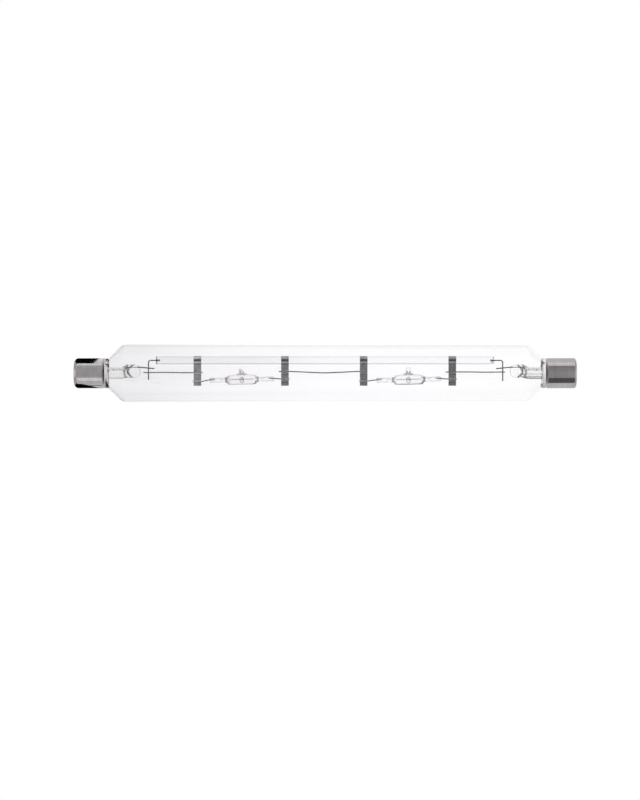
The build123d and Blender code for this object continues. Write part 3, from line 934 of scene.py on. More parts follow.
@dataclass
class EndCap:
    """A drawn metal cap with its cement and its solder."""

    side: Side
    corner: float  # Bend between the cap's wall and its end
    cement_finish: CementFinish
    wall: float = 0.35
    wave: float = 0.015  # How far it is out of round
    rim_roll: float = 0.25
    rim_length: float = 0.9
    rim_draw: float = 0.6  # How far it is drawn over the collar
    rim_bend: float = 1.0
    dish_radius: float = 3.2
    dish_depth: float = 0.8
    dish_slope: float = 0.7  # How much narrower the dish is at its floor
    dish_bend: float = 0.5
    eyelet: float = 0.9
    neck_radius: float = 8.5
    collar_length: float = 2.1  # Cement that shows past the rim
    collar_inset: float = 0.3
    collar_ragged: float = 0.18
    collar_lumps: float = 0.05
    cement_end: float = 8.0  # From the lamp's end back to the cement's
    solder_radius: float = 1.8
    solder_height: float = 0.65
    solder_lean: float = 0.06
    shell_sides: int = 160
    cement_sides: int = 256
    solder_sides: int = 72

    def __post_init__(self) -> None:
        """Read the cap's place from the frame, as distances outwards along X."""
        rim, self.end = node_span(self.side.word + "_cap")
        self.radius = node_box(self.side.word + "_cap")[1][2]
        self.rim = rim - self.rim_draw
        self.floor = self.end - self.dish_depth

    def build(self) -> None:
        """Build the cap's shell, its cement and its solder."""
        word = self.side.word
        add_piece(word + "_cap_shell", CAP_METAL, word + "_cap", self.shell(), sharp=50)
        add_piece(word + "_cement_ring", self.cement_finish, word + "_cap_cement", self.cement())
        add_piece(word + "_solder_bead", SOLDER, word + "_cap_solder", self.solder())

    def shell(self) -> Skin:
        """Turn the drawn cup's closed profile round the axis.

        The wall waves by a few hundredths with the cosine of twice the angle, as drawn cups do.

        Returns:
            The cup's surface.
        """
        corners = [
            (self.rim, self.radius - self.rim_roll),
            (self.rim + self.rim_length, self.radius),
            (self.end, self.radius),
            (self.end, self.dish_radius),
            (self.floor, self.dish_radius - self.dish_slope),
            (self.floor, self.eyelet),
        ]
        bends = [self.rim_bend, self.corner, self.dish_bend, self.dish_bend]
        profile = walled(bent_line(corners, bends, 1.0, 0.1), self.wall)
        out_of_round = 1 + np.cos(2 * circle_angles(self.shell_sides) + 0.5)
        wave = -self.wave * out_of_round * smooth_step(profile[:, 1:], 6.0, 9.0)
        return Skin.of_rings(self.side.outward(turned_rings(profile, self.shell_sides, wave)), Ends.LOOP)

    def cement(self) -> Skin:
        """Turn the cement's profile round the axis, with a lumpy collar and a ragged foot.

        The foot's place along X is its mean plus a sum of sines of the angle, and the collar's
        radius swells by another sum, so that no two places are alike.

        Returns:
            The cement's surface.
        """
        angle = circle_angles(self.cement_sides)
        turn = angle + 0.8 * self.side.value
        ragged = waves(turn, (1, 3, 0), (0.8, 7, 1.3), (0.6, 13, 0.4), (0.5, 23, 0), (0.4, 37, 2.0))
        lumps = waves(turn, (1, 5, 0.3), (0.7, 11, 1.1), (0.6, 29, 0))
        foot = self.rim - self.collar_length + self.collar_ragged * ragged
        crown = self.radius - self.collar_inset + self.collar_lumps * lumps
        bore = self.radius - self.wall
        end = self.end - self.cement_end
        cone = self.radius + self.rim - self.collar_length
        neck_corner = cone - self.neck_radius
        stations = [
            (foot, cone - foot),
            (foot + 0.1, np.minimum(cone - foot + 0.14, crown)),
            (foot + 0.5, np.minimum(cone - foot + 0.1 + 0.03 * lumps, crown)),
            (0.6 * foot + 0.4 * self.rim, crown),
            (0.25 * foot + 0.75 * self.rim, crown - 0.04 * ragged),
            (self.rim, crown - 0.1),
            (self.rim + 0.4, bore - 0.2),
            (end, bore - 0.05),
            (end, self.neck_radius),
            (neck_corner + 1.2, self.neck_radius),
            (neck_corner - 0.2, self.neck_radius - 0.05),
        ]
        rings = [joined(x, radius * np.cos(angle), radius * np.sin(angle)) for x, radius in stations]
        return Skin.of_rings(self.side.outward(np.stack(rings)), Ends.LOOP)

    def solder(self) -> Skin:
        """Turn a domed bead with a short plug in the eyelet round the axis.

        The dome is a quarter ellipse, lowered with the cosine of the angle so that the bead leans
        a little to one side.

        Returns:
            The solder's surface.
        """
        rise = np.linspace(0, QUARTER, 18)
        around = np.maximum(self.solder_radius * np.sin(rise), 0.04)
        plug = [(self.floor, self.eyelet), (self.floor - self.wall, self.eyelet)]
        profile = np.vstack([joined(self.floor + self.solder_height * np.cos(rise), around), plug])
        rings = turned_rings(profile, self.solder_sides)
        aside = np.cos(circle_angles(self.solder_sides) + self.side.value)
        lean = self.solder_lean * (1 + aside * smooth_step(profile[:, 1:], 0.0, 1.2))
        rings[..., 0] -= lean * (profile[:, :1] > self.floor + 0.05)
        return Skin.of_rings(self.side.outward(rings))


# The stems with their wires


@dataclass
class Stem:
    """A flared glass stem, pressed flat round its lead-in wire, with the wire to the cap."""

    side: Side
    exhaust: bool  # Whether it holds the sealed exhaust tube
    radius: float = 3.8
    wall: float = 1.0
    flare_length: float = 6.5
    neck_radius: float = 8.5
    neck_wall: float = 0.9
    press_length: float = 7.8
    press_taper: float = 4.6  # Over which the tube flattens
    press_width: float = 8.2
    press_thickness: float = 3.2
    press_rise: float = 1.3  # Height of its middle over the lamp's axis
    press_power: float = 4.2  # How near its section comes to a rectangle
    tip_radius: float = 3.4  # At its outer corners
    edge_round: float = 1.0
    jaw_wave: float = 0.07
    # Past the press's root, and depth, of each groove that the jaws' edges left
    jaw_marks: tuple[Pair, ...] = ((0.2, 0.34), (2.6, 0.3))
    jaw_bow: float = 0.18  # How much nearer a groove is at a height of one, growing with its square
    jaw_reach: float = 0.42
    pocket_thickness: float = 1.0  # Slit where the bore ends
    pocket_margin: float = 1.0  # Glass over and under that slit
    exhaust_diameter: float = 2.6
    exhaust_bore: float = 1.3
    exhaust_clearance: float = 0.2
    exhaust_seal: float = 2.0
    exhaust_setback: float = 0.5  # From the neck's end back to its end
    exhaust_nose: float = 1.6
    port_depth: float = 3.0  # From the press's root to the port into the lamp
    lead_diameter: float = 0.75
    lead_margin: float = 1.8  # From the press's top
    lead_clearance: float = 0.4
    lead_fall: float = 0.8  # From the press to its tail
    lead_setback: float = 0.7  # From the press's tip to its bend
    lead_step: float = 2.4  # Over which it steps behind the hook wire
    lead_joint: float = 4.0  # From the stem's root to the joint with the cap's wire
    lead_entry: float = 1.7  # From the press's tip to the thin seal wire
    seal_diameter: float = 0.42
    bead_diameter: float = 0.9
    bead_length: float = 1.1
    bead_setback: float = 1.4  # From the press's root to the first bead
    cap_lead_diameter: float = 0.36
    cap_lead_run: Pair = (2.5, 3.5)  # Straight past the flare and in the solder
    wire_bend: float = 3.0
    hook_step_bend: float = 2.0
    sides: int = 96

    def __post_init__(self) -> None:
        """Read the stem's place from the frame, as distances outwards along X."""
        self.tip, rim = node_span(self.side.word + "_stem")
        self.neck_end = rim - self.wall
        self.press_root = self.tip + self.press_length
        self.root = self.press_root + self.press_taper
        self.flare = self.neck_end - self.flare_length
        self.bore = self.radius - self.wall
        self.lead_height = self.press_rise + self.press_width / 2 - self.lead_margin
        self.lead_bore_height = self.bore - self.lead_diameter / 2 - self.lead_clearance
        self.lead_enter = self.tip - self.lead_setback
        self.exhaust_height = self.exhaust_diameter / 2 + self.exhaust_clearance - self.bore
        self.exhaust_end = self.neck_end - self.exhaust_setback

    def build(self) -> None:
        """Build the glass, the lead-in wire and the wire to the cap."""
        word = self.side.word
        glass = make_object(word + "_stem_glass", self.glass())
        if self.exhaust:
            for skin, way in self.exhaust_tube():
                fuse(glass, make_object("exhaust", skin), way)
        settle(glass, STEM_GLASS, word + "_stem")
        add_piece(word + "_lead_wire", WIRE_METAL, word + "_lead_in", self.lead_in())
        add_piece(word + "_cap_tail_wire", COPPER, word + "_cap_lead", self.cap_lead())

    def glass(self) -> Skin:
        """Carry an oval along the outside of the stem and back along its bore, as one skin.

        The outside grows from the press's tip by quarter circles, blends along a cubic into the
        round tube and opens in a flare whose radius follows an arc. The bore comes back the same
        way and closes in a slit at the root of the press. Each row below holds the place along X,
        half width, half height, height and roundness.

        Returns:
            The glass's surface.
        """
        tube = np.linspace(self.root, self.flare, 16)[1:]
        outside = np.vstack([self.press_rows(), joined(tube, self.radius, self.radius, 0, 2)])
        sweep = np.linspace(0, 1, 14)[1:]
        arc = np.sin(sweep * QUARTER)
        flare_x = self.flare + self.flare_length * arc
        opened = 1 - dome(arc)
        neck_bore = self.neck_radius - self.neck_wall
        flare = self.radius + (neck_bore - self.radius) * opened
        rim_x = np.array([0, self.wall, self.wall]) + self.neck_end
        rim = np.array([self.neck_radius - 0.02, self.neck_radius - 0.02, neck_bore])
        back_x = (flare_x + self.wall * sweep)[::-1][1:]
        back = (self.bore + (neck_bore - self.bore) * opened)[::-1][1:]
        turned = [(flare_x, flare), (rim_x, rim), (back_x, back), (tube[::-1], self.bore)]
        closing = np.linspace(0, 1, 18)
        ease = smooth_step(closing)
        slit_y, slit_z = self.pocket_thickness, self.press_width / 2 - self.pocket_margin
        bore_y = self.bore + (slit_y / 2 - self.bore) * ease
        bore_z = self.bore + (slit_z - self.bore) * ease
        bore_x = self.root - self.press_taper * closing
        rows = [
            outside,
            *(joined(x, radius, radius, 0, 2) for x, radius in turned),
            joined(bore_x, bore_y, bore_z, self.press_rise * ease, 2 + 0.6 * ease),
            [(self.press_root - 0.3, 0.4 * slit_y, slit_z - 0.2, self.press_rise, 2.4)],
            [(self.press_root - 0.45, 0.2 * slit_y, slit_z - 0.7, self.press_rise, 2.4)],
        ]
        rings = oval_rings(np.vstack(rows), self.sides)
        rings[: len(outside)] = self.jaw_marked(rings[: len(outside)])
        return Skin.of_rings(self.side.outward(rings))

    def press_rows(self) -> Array:
        """Give the outside of the press and of the taper to the tube.

        The corners and edges grow by quarter circles, and the faces wave with the sine of X.

        Returns:
            Rows of place along X, half width, half height, height and roundness.
        """
        nose = self.tip_radius * (1 - np.cos(np.linspace(0.12, QUARTER, 16)))
        flat = np.linspace(self.tip_radius, self.press_length, 30)[1:]
        taper = np.linspace(0, 1, 36)[1:]
        x = np.concatenate([self.tip + nose, self.tip + flat, self.press_root + self.press_taper * taper])
        past = x - self.tip
        blend = smooth_step(x, self.press_root, self.root)
        wave = self.jaw_wave * np.sin(past * 2.4) * smooth_step(past, 1.5, 3.0)
        half_y = self.press_thickness / 2 - self.edge_round * (1 - round_end(past / self.edge_round)) + wave
        half_z = self.press_width / 2 - self.tip_radius * (1 - round_end(past / self.tip_radius))
        return joined(
            x,
            half_y + (self.radius - half_y) * blend,
            half_z + (self.radius - half_z) * blend,
            self.press_rise * (1 - blend),
            self.press_power + (2 - self.press_power) * blend,
        )

    def jaw_marked(self, rings: Array) -> Array:
        """Press uneven grooves across the press's faces, where the jaws' edges bit.

        A groove is a bell curve of the distance along X from a line that bows with the square of
        the height and wanders with its sine, and it moves a point towards the middle plane.

        Args:
            rings: Rings of the stem's outside.

        Returns:
            The rings with the grooves.
        """
        x, y, z = np.moveaxis(rings, -1, 0)
        bowed = self.jaw_bow * (z - self.press_rise) ** 2
        for past_root, depth in self.jaw_marks:
            place = self.press_root + past_root
            line = place - bowed + waves(z, (0.4, 2.3, place), (0.2, 5.1, 0))
            bite = depth * bell(x - line, self.jaw_reach)
            y = y - np.sign(y) * np.minimum(bite, np.abs(y) * 0.5)
        return joined(x, y, z)

    def exhaust_tube(self) -> list[tuple[Skin, Fuse]]:
        """Carry circles along the exhaust tube, its bore, and its port through the press's front.

        The tube's sealed end closes by a quarter circle, and the bore narrows towards it.

        Returns:
            The three surfaces, each with how it is joined with the stem.
        """
        end, height, radius = self.exhaust_end, self.exhaust_height, self.exhaust_bore / 2
        shoulder = end - self.exhaust_nose
        nose = end - self.exhaust_nose * (1 - np.sin(np.linspace(0, QUARTER, 10)[1:]))
        x = np.concatenate([np.linspace(self.press_root - 1.0, shoulder, 24), nose])
        share = np.clip((x - shoulder) / self.exhaust_nose, 0, 1)
        outer = self.exhaust_diameter / 2 * np.maximum(dome(share), 0.05)
        tube = wire_rings(joined(x, 0, height), outer, 40)
        start, stop = self.press_root - self.port_depth, end - self.exhaust_seal
        x = np.linspace(start, stop, 24)
        bore = wire_rings(joined(x, 0, height), radius * (1 - 0.7 * smooth_step(x, stop - 3, stop)), 32)
        port_y = np.linspace(-self.press_thickness, 0.1, 8)
        port = wire_rings(joined(start + radius, port_y, height), radius * 0.98, 32, (0, 0, 1))
        ways = ((tube, Fuse.ADD), (bore, Fuse.CUT), (port, Fuse.CUT))
        return [(Skin.of_rings(self.side.outward(rings)), way) for rings, way in ways]

    def lead_height_at(self, x: float) -> float:
        """Give the lead-in's height at a distance out, on its slope between tail and press."""
        tail, _ = node_span(self.side.word + "_lead_in")
        return self.lead_height - self.lead_fall * (self.lead_enter - x) / (self.lead_enter - tail)

    def lead_girth(self, x: Array) -> Array:
        """Give the lead-in's radius.

        It is thick as far as the seal and thin past it, with a round swelling at the root of the
        press and at the joint: the bead's radius times the half circle over the bead's length.

        Args:
            x: Distances out.

        Returns:
            The radius at each.
        """
        thick, thin = self.lead_diameter / 2, self.seal_diameter / 2
        seal = self.tip + self.lead_entry
        girth = thick + (thin - thick) * smooth_step(x, seal - 0.3, seal + 0.2)
        for place in (self.press_root - self.bead_setback, self.root + self.lead_joint):
            bead = self.bead_diameter / 2 * dome((x - place) / (self.bead_length / 2))
            girth = np.maximum(girth, bead)
        return girth

    def lead_in(self) -> Skin:
        """Bend the lead-in wire from behind the hook wire, through the press, into the tube.

        Returns:
            The wire's surface.
        """
        node = self.side.word + "_lead_in"
        tail, _ = node_span(node)
        aside = node_box(node)[1][1] - self.lead_diameter / 2
        step = self.lead_enter - self.lead_step
        end = self.root + self.lead_joint + 0.45 * self.bead_length
        corners = [
            (tail, aside, self.lead_height_at(tail)),
            (step, aside, self.lead_height_at(step)),
            (self.lead_enter, 0, self.lead_height),
            (self.press_root, 0, self.lead_height),
            (self.root, 0, self.lead_bore_height),
            (end, 0, self.lead_bore_height),
        ]
        bends = [self.hook_step_bend] * 2 + [self.wire_bend] * 2
        path = bent_line(self.side.outward(corners), bends, 0.12)
        points, passed = with_bevels(path, 0.25 * self.lead_diameter)
        girth = self.lead_girth(np.abs(points[:, 0])) * cut_end(passed)
        return Skin.of_rings(wire_rings(points, girth, 20))

    def cap_lead(self) -> Skin:
        """Bend the thin copper wire from the lead-in's end to the solder in the cap.

        Returns:
            The wire's surface.
        """
        start, stop = node_span(self.side.word + "_cap_lead")
        past_flare, in_solder = self.cap_lead_run
        corners = [
            (start, 0, self.lead_bore_height),
            (self.flare + past_flare, 0, self.lead_bore_height),
            (stop - in_solder, 0, 0),
            (stop, 0, 0),
        ]
        path = bent_line(self.side.outward(corners), [self.wire_bend] * 2, 0.5)
        return wire_skin(path, self.cap_lead_diameter)


# The rod with its hooks, straps and links


@dataclass
class RodFrame:
    """The glass rod, its hook wires, the straps that grip it and the wires that link them."""

    stems: dict[Side, Stem]
    rod_round: float = 0.45
    rod_pressed: float = 4.0  # Length at each end that was pressed on its wire
    rod_thinned: float = 0.12  # How far it is thinner there
    hook_diameter: float = 0.75
    hook_bend: float = 1.4
    # Distance along Y and half axes of a bead at a lead-in
    lead_weld: tuple[float, Triple] = (0.39, (0.5, 0.36, 0.46))
    link_weld: tuple[float, Triple] = (-0.37, (0.52, 0.34, 0.44))  # The same at a link
    link_diameter: float = 0.7
    link_bend: float = 8.0
    link_cross: float = 2.0  # Straight run at the hook wire
    link_run: float = 1.5  # Straight run at a strap
    link_wander: float = 0.12
    link_wave: float = 37.0
    sag_bend: float = 60.0
    strap_thickness: float = 0.3
    strap_slit: float = 0.1
    strap_power: float = 9.0
    rod_blend: float = 0.12  # Of a leg into the loop round the rod
    wire_blend: float = 0.1  # Of a leg into the bulge round a wire
    pin_diameter: float = 0.7

    def __post_init__(self) -> None:
        """Read the rod's place from the frame."""
        low, high = node_box("support_rod")
        self.rod_half = high[0]
        self.rod_radius = (high[2] - low[2]) / 2
        self.rod_height = (high[2] + low[2]) / 2

    def build(self) -> None:
        """Build the rod, then the hooks, links and straps at their places."""
        add_piece("support_rod_glass", ROD_GLASS, "support_rod", self.rod())
        for side in Side:
            add_piece(side.word + "_hook", WIRE_METAL, side.word + "_hook_wire", *self.hook(side))
            add_piece(side.word + "_link", WIRE_METAL, side.word + "_link_wire", self.outer_link(side))
            for place in Place:
                name = f"{side.word}_{place.word}"
                add_piece(name + "_clip", STRAP_METAL, name + "_strap", self.strap(side, place))
        add_piece("centre_link", WIRE_METAL, "centre_link_wire", self.centre_link())

    def rod(self) -> Skin:
        """Turn the rod's profile round its own axis.

        Each end closes by a quarter circle and a nearly flat face, and is a little thinner over
        its last millimetres, where it was softened and pressed on the wire.

        Returns:
            The rod's surface.
        """
        edge = self.rod_round
        flat = self.rod_half - edge
        nose = flat + edge * np.sin(np.linspace(0, QUARTER, 9)[1:])
        x = np.concatenate([-nose[::-1], np.linspace(-flat, flat, 90), nose])
        away = np.abs(x)
        radius = self.rod_radius - edge * (1 - dome(np.clip((away - flat) / edge, 0, 1)))
        thinned = self.rod_thinned * smooth_step(away, self.rod_half - self.rod_pressed, self.rod_half)
        rings = turned_rings(joined(x, radius - thinned), 72)
        return Skin.of_rings(rings + np.array([0, 0, self.rod_height]))

    def hook(self, side: Side) -> list[Skin]:
        """Bend a hook wire out of the rod's end and down, and set its two welds.

        Args:
            side: The rod's end.

        Returns:
            The wire, and a bead at the crossing with the lead-in and with the link.
        """
        near, far = node_span(side.word + "_hook_wire")
        foot = node_box(side.word + "_hook_wire")[0][2]
        x = side.value * (far - self.hook_diameter / 2)
        corners = [(side.value * near, 0, self.rod_height), (x, 0, self.rod_height), (x, 0, foot)]
        wire = wire_skin(bent_line(corners, [self.hook_bend], 0.6), self.hook_diameter)
        lead_z = self.stems[side].lead_height_at(abs(x))
        link_z = node_centre(side.word + "_link_wire")[2]
        welds = ((self.lead_weld, lead_z), (self.link_weld, link_z))
        return [wire, *(bead_skin((x, y, z), reach) for (y, reach), z in welds)]

    def outer_link(self, side: Side) -> Skin:
        """Bend a link wire from the front of its hook to the slit of its outer strap.

        Its height wanders with a sine of X, under a bell that is level at both ends, as
        hand-straightened wire does.

        Args:
            side: The end of the rod.

        Returns:
            The wire's surface.
        """
        node = side.word + "_link_wire"
        near, far = node_span(node)
        _, hook_far = node_span(side.word + "_hook_wire")
        _, strap_edge = node_span(side.word + "_outer_strap")
        aside = node_box(node)[0][1] + self.link_diameter / 2
        height = node_centre(node)[2]
        corners = [
            (far, aside, height),
            (hook_far - self.hook_diameter / 2 - self.link_cross, aside, height),
            (strap_edge + self.link_run, 0, height),
            (near, 0, height),
        ]
        path = bent_line(side.outward(corners), [self.link_bend] * 2, 0.8)
        x = path[:, 0]
        level = np.sin(np.pi * (x - x[0]) / (x[-1] - x[0])) ** 2
        path[:, 2] += self.link_wander * np.sin(x * ROUND / self.link_wave) * level
        return wire_skin(path, self.link_diameter)

    def centre_link(self) -> Skin:
        """Bend the wire between the inner straps, which sags in the middle.

        Returns:
            The wire's surface.
        """
        low, high = node_box("centre_link_wire")
        left = node_box("left_inner_strap")[1][0]
        right = node_box("right_inner_strap")[0][0]
        height = high[2] - self.link_diameter / 2
        sag = low[2] + self.link_diameter / 2
        corners = [
            (low[0], 0, height),
            (left + self.link_run, 0, height),
            ((left + right) / 2, 0, sag),
            (right - self.link_run, 0, height),
            (high[0], 0, height),
        ]
        path = bent_line(corners, [self.link_bend, self.sag_bend, self.link_bend], 0.8)
        return wire_skin(path, self.link_diameter)

    def strap(self, side: Side, place: Place) -> Skin:
        """Carry the strip's flat profile up one leg, round the rod and down the other leg.

        A leg's distance from the middle is the larger of half the slit, the circle round the rod
        and the circles round the two wires, with rounded change-overs. The strip's profile is a
        rounded rectangle set on X and on the normal of that line.

        Args:
            side: The lamp's end.
            place: Which of that end's straps.

        Returns:
            The strap's surface.
        """
        name = f"{side.word}_{place.word}"
        low, high = node_box(name + "_strap")
        thick = self.strap_thickness
        link = "centre_link_wire" if place is Place.INNER else side.word + "_link_wire"
        link_z = node_box(link)[1][2] - self.link_diameter / 2
        pin_z = node_box(name + "_pin")[0][2] + self.pin_diameter / 2
        loop = self.rod_radius + thick / 2
        leg_z = np.linspace(low[2], self.rod_height - loop, 90)[:-1]
        under = np.linspace(0, QUARTER, 40)
        over = np.linspace(QUARTER, np.pi, 30)[1:]
        z = np.concatenate([leg_z, self.rod_height - loop * np.cos(under)])
        circle = np.concatenate([0 * leg_z, loop * np.sin(under)])
        y = soft_max(circle, self.strap_slit / 2 + thick / 2, self.rod_blend)
        for wire_z, diameter in ((link_z, self.link_diameter), (pin_z, self.pin_diameter)):
            bulge = np.sqrt(np.clip(((diameter + thick) / 2) ** 2 - (z - wire_z) ** 2, 0, None))
            y = soft_max(y, bulge, self.wire_blend)
        top = joined(-loop * np.sin(over), self.rod_height - loop * np.cos(over))
        half = np.vstack([joined(-y, z), top])
        line = np.vstack([half, (half * np.array([-1, 1]))[::-1][1:]])
        way = unit(np.gradient(line, axis=0))
        across, through = squared_circle(48, self.strap_power)
        x = (low[0] + high[0]) / 2 + (high[0] - low[0]) / 2 * across
        out_y = line[:, :1] - thick / 2 * through * way[:, 1:]
        out_z = line[:, 1:] + thick / 2 * through * way[:, :1]
        return Skin.of_rings(joined(x, out_y, out_z))


# The capsules


@dataclass
class Capsule:
    """A quartz halogen capsule, a little tilted, with its coil, coil support, foils and pins.

    Its pieces are worked out level, about the capsule's middle, and then hung in place.
    """

    side: Side
    tip_lean: float  # To the left, in degrees
    tip_height: float
    tip_radii: Sequence[float]  # At its root, waist, drop and end
    tip_closing: float  # Share past which its end is rounded off
    quartz: GlassFinish
    foot_shade_depth: float  # How dark the painted shade at the tip's foot is
    drop_shade: Triple  # Radius, half width and depth of the painted shade ring round the tip's drop
    half: float = 19.9  # Half the length of the quartz
    bulb_radius: float = 3.45
    bulb_straight: float = 15.4
    bulb_taper: float = 3.2  # Over which it flattens into a pinch
    bulb_droop: float = 0.75  # Fall of its top from the tip to the ends
    bulb_wall: float = 0.6
    hollow_straight: float = 11.0
    bulb_dome: float = 4.9
    pinch_width: float = 6.8
    pinch_thickness: float = 3.3
    pinch_round: float = 0.5
    pinch_power: float = 4.6
    pinch_wave: float = 0.09
    pinch_dish: float = 0.24
    dish_reach: float = 1.9
    skirt_rise: float = 0.9  # How far the bulb is drawn up round the tip
    skirt_reach: Pair = (2.5, 1.5)  # How far along X and Y
    tip_sunk: Pair = (0.75, 0.35)  # Depth of its two lowest rings in the bulb
    # Shares up to its closing, at its root, shoulder, waist, drop and end
    tip_knots: Sequence[float] = (0.0, 0.13, 0.37, 0.72, 1.0)
    coil_length: float = 15.6
    coil_diameter: float = 0.62
    coil_wire: float = 0.1
    coil_pitch: float = 0.27
    leg_diameter: float = 0.16
    leg_reach: float = 13.2
    support_diameter: float = 0.3
    support_gap: float = 0.06
    support_reach: float = 2.24
    support_tilt: float = 35.0  # Turn of its plane about Z, in degrees
    support_wrap: float = 120.0  # How far it follows the wall, in degrees
    foil_start: float = 12.3
    foil_length: float = 5.2
    foil_width: float = 2.0
    foil_thickness: float = 0.06
    foil_wave: float = 0.01
    pin_diameter: float = 0.7
    pin_overlap: float = 1.0
    pin_straight: float = 0.5  # At its pinch and at its strap
    pin_bend: float = 2.5
    end_shade_place: float = 10.4  # From the middle to the painted shade ring at the bulb's ends
    mark_reach: float = 1.1  # From the middle to a painted shade spot at the tip's foot
    mark_rise: float = 0.95
    mark_half: float = 0.7
    drop_rise: float = 1.35  # From those spots to the drop
    sides: int = 96

    def __post_init__(self) -> None:
        """Read the capsule's place and tilt from its foils, which lie evenly about its middle."""
        foils = [node_centre(f"{self.side.word}_{place.word}_foil") for place in Place]
        left, right = sorted(foils, key=lambda centre: centre[0])
        tilt = np.arctan2(right[2] - left[2], right[0] - left[0])
        cos, sin = np.cos(tilt), np.sin(tilt)
        self.turn = np.array([(cos, 0, -sin), (0, 1, 0), (sin, 0, cos)])
        height = (left[2] + right[2] + self.foil_thickness) / 2
        self.middle = np.array([(left[0] + right[0]) / 2, 0, height])

    def hung(self, points: Array) -> Array:
        """Turn points that were worked out level to the capsule's tilt, and set them in place."""
        return points @ self.turn.T + self.middle

    def level(self, x: float, z: float) -> Array:
        """Give a place in the lamp as a place about the level capsule."""
        return (np.array([x, 0, z]) - self.middle) @ self.turn

    def build(self) -> None:
        """Build the quartz, then what it holds."""
        word = self.side.word
        quartz = make_object(word + "_capsule_body", self.body())
        fuse(quartz, make_object("melted_tip", self.tip()), Fuse.ADD, 32)
        fuse(quartz, make_object("bulb_hollow", self.hollow()), Fuse.CUT, 32)
        finish = replace(self.quartz, name=word + "_capsule_quartz", painted_shades=self.marks())
        settle(quartz, finish, word + "_capsule")
        add_piece(word + "_filament_coil", TUNGSTEN, word + "_filament", self.coil())
        add_piece(word + "_coil_support", COIL_SUPPORT, word + "_filament_support", self.support())
        for place in Place:
            name = f"{word}_{place.word}"
            add_piece(name + "_foil_strip", FOIL_METAL, name + "_foil", self.foil(place))
            add_piece(name + "_pin_wire", PIN_METAL, name + "_pin", self.pin(place))

    def marks(self) -> tuple[GlassShade, ...]:
        """Give the rings of painted shade in the quartz.

        Returns:
            The painted shade at the bulb's ends, at the tip's foot and in the ring round its drop.
        """
        upright = (1.0, 0.0, 1.0)
        end_shade = GlassShade(tuple(self.middle.tolist()), (1.0, 0.0, 1.5), self.end_shade_place, 0.2, 0.12, span=1.4)
        rise = self.bulb_radius + self.mark_rise
        places = [(-self.mark_reach, 0, rise), (self.mark_reach, 0, rise), (0, 0, rise + self.drop_rise)]
        *feet, drop = (tuple(spot) for spot in self.hung(np.array(places)).tolist())
        dark = [GlassShade(foot, upright, 0.0, self.mark_half, self.foot_shade_depth) for foot in feet]
        return (end_shade, *dark, GlassShade(drop, upright, *self.drop_shade))

    def body(self) -> Skin:
        """Carry an oval from one pinch through the round bulb to the other.

        The bulb blends into each pinch along a cubic. The pinch's flat faces are hollowed by a
        bell curve of Y, which leaves thicker edges as the pressing jaws do. The bulb's top falls with
        the square of X, and is drawn up to the tip by a bell curve of X and Y.

        Returns:
            The quartz's outer surface.
        """
        straight = self.bulb_straight / 2
        root = straight + self.bulb_taper
        edge = self.pinch_round
        end = self.half - edge * (1 - np.cos(np.linspace(0, QUARTER, 8)))
        runs = ((0, straight, 40), (straight, root, 18), (root, self.half - edge, 26))
        x = mirrored(np.concatenate([*(np.linspace(*run)[:-1] for run in runs), end[::-1]]))
        past = np.abs(x)
        blend = smooth_step(past, straight, root)
        rounded = edge * (1 - round_end((self.half - past) / edge))
        wave = self.pinch_wave * np.sin((past - root) * 1.9) * smooth_step(past, root, root + 1.5)
        half_y = self.bulb_radius + (self.pinch_width / 2 - self.bulb_radius) * blend - rounded
        half_z = self.bulb_radius + (self.pinch_thickness / 2 - self.bulb_radius) * blend - rounded
        power = 2 + (self.pinch_power - 2) * blend
        rings = oval_rings(joined(x, half_y, half_z + wave * blend, 0, power), self.sides)
        pressed = smooth_step(past, root, root + 1.2)[:, None] * (np.abs(rings[..., 2]) > 0.4)
        dish = self.pinch_dish * bell(rings[..., 1], self.dish_reach) * pressed
        rings[..., 2] -= np.sign(rings[..., 2]) * dish
        rings = self.drooped(rings)
        drawn = bell(rings[..., 0], self.skirt_reach[0]) * bell(rings[..., 1], self.skirt_reach[1])
        rings[..., 2] += self.skirt_rise * drawn * smooth_step(rings[..., 2], 0.0, self.bulb_radius)
        return Skin.of_rings(self.hung(rings))

    def hollow(self) -> Skin:
        """Turn the bulb's hollow round the capsule's axis, with a half ellipse at each end.

        Returns:
            The hollow's surface.
        """
        straight = self.hollow_straight / 2
        end = straight + self.bulb_dome * np.cos(np.linspace(0.06, QUARTER, 18))
        x = mirrored(np.concatenate([np.linspace(0, straight, 12)[:-1], end[::-1]]))
        past = np.clip((np.abs(x) - straight) / self.bulb_dome, 0, 1)
        profile = joined(x, (self.bulb_radius - self.bulb_wall) * dome(past))
        return Skin.of_rings(self.hung(self.drooped(turned_rings(profile, 72))))

    def drooped(self, rings: Array) -> Array:
        """Let the upper half of level rings fall with the square of X, as far as the bulb's ends.

        Args:
            rings: An array of rings by points by three.

        Returns:
            The fallen rings.
        """
        x, y, z = np.moveaxis(rings, -1, 0)
        share = np.minimum(2 * np.abs(x) / self.bulb_straight, 1)
        fall = 1 - self.bulb_droop / self.bulb_radius * share**2
        return joined(x, y, z * np.where(z > 0, fall, 1))

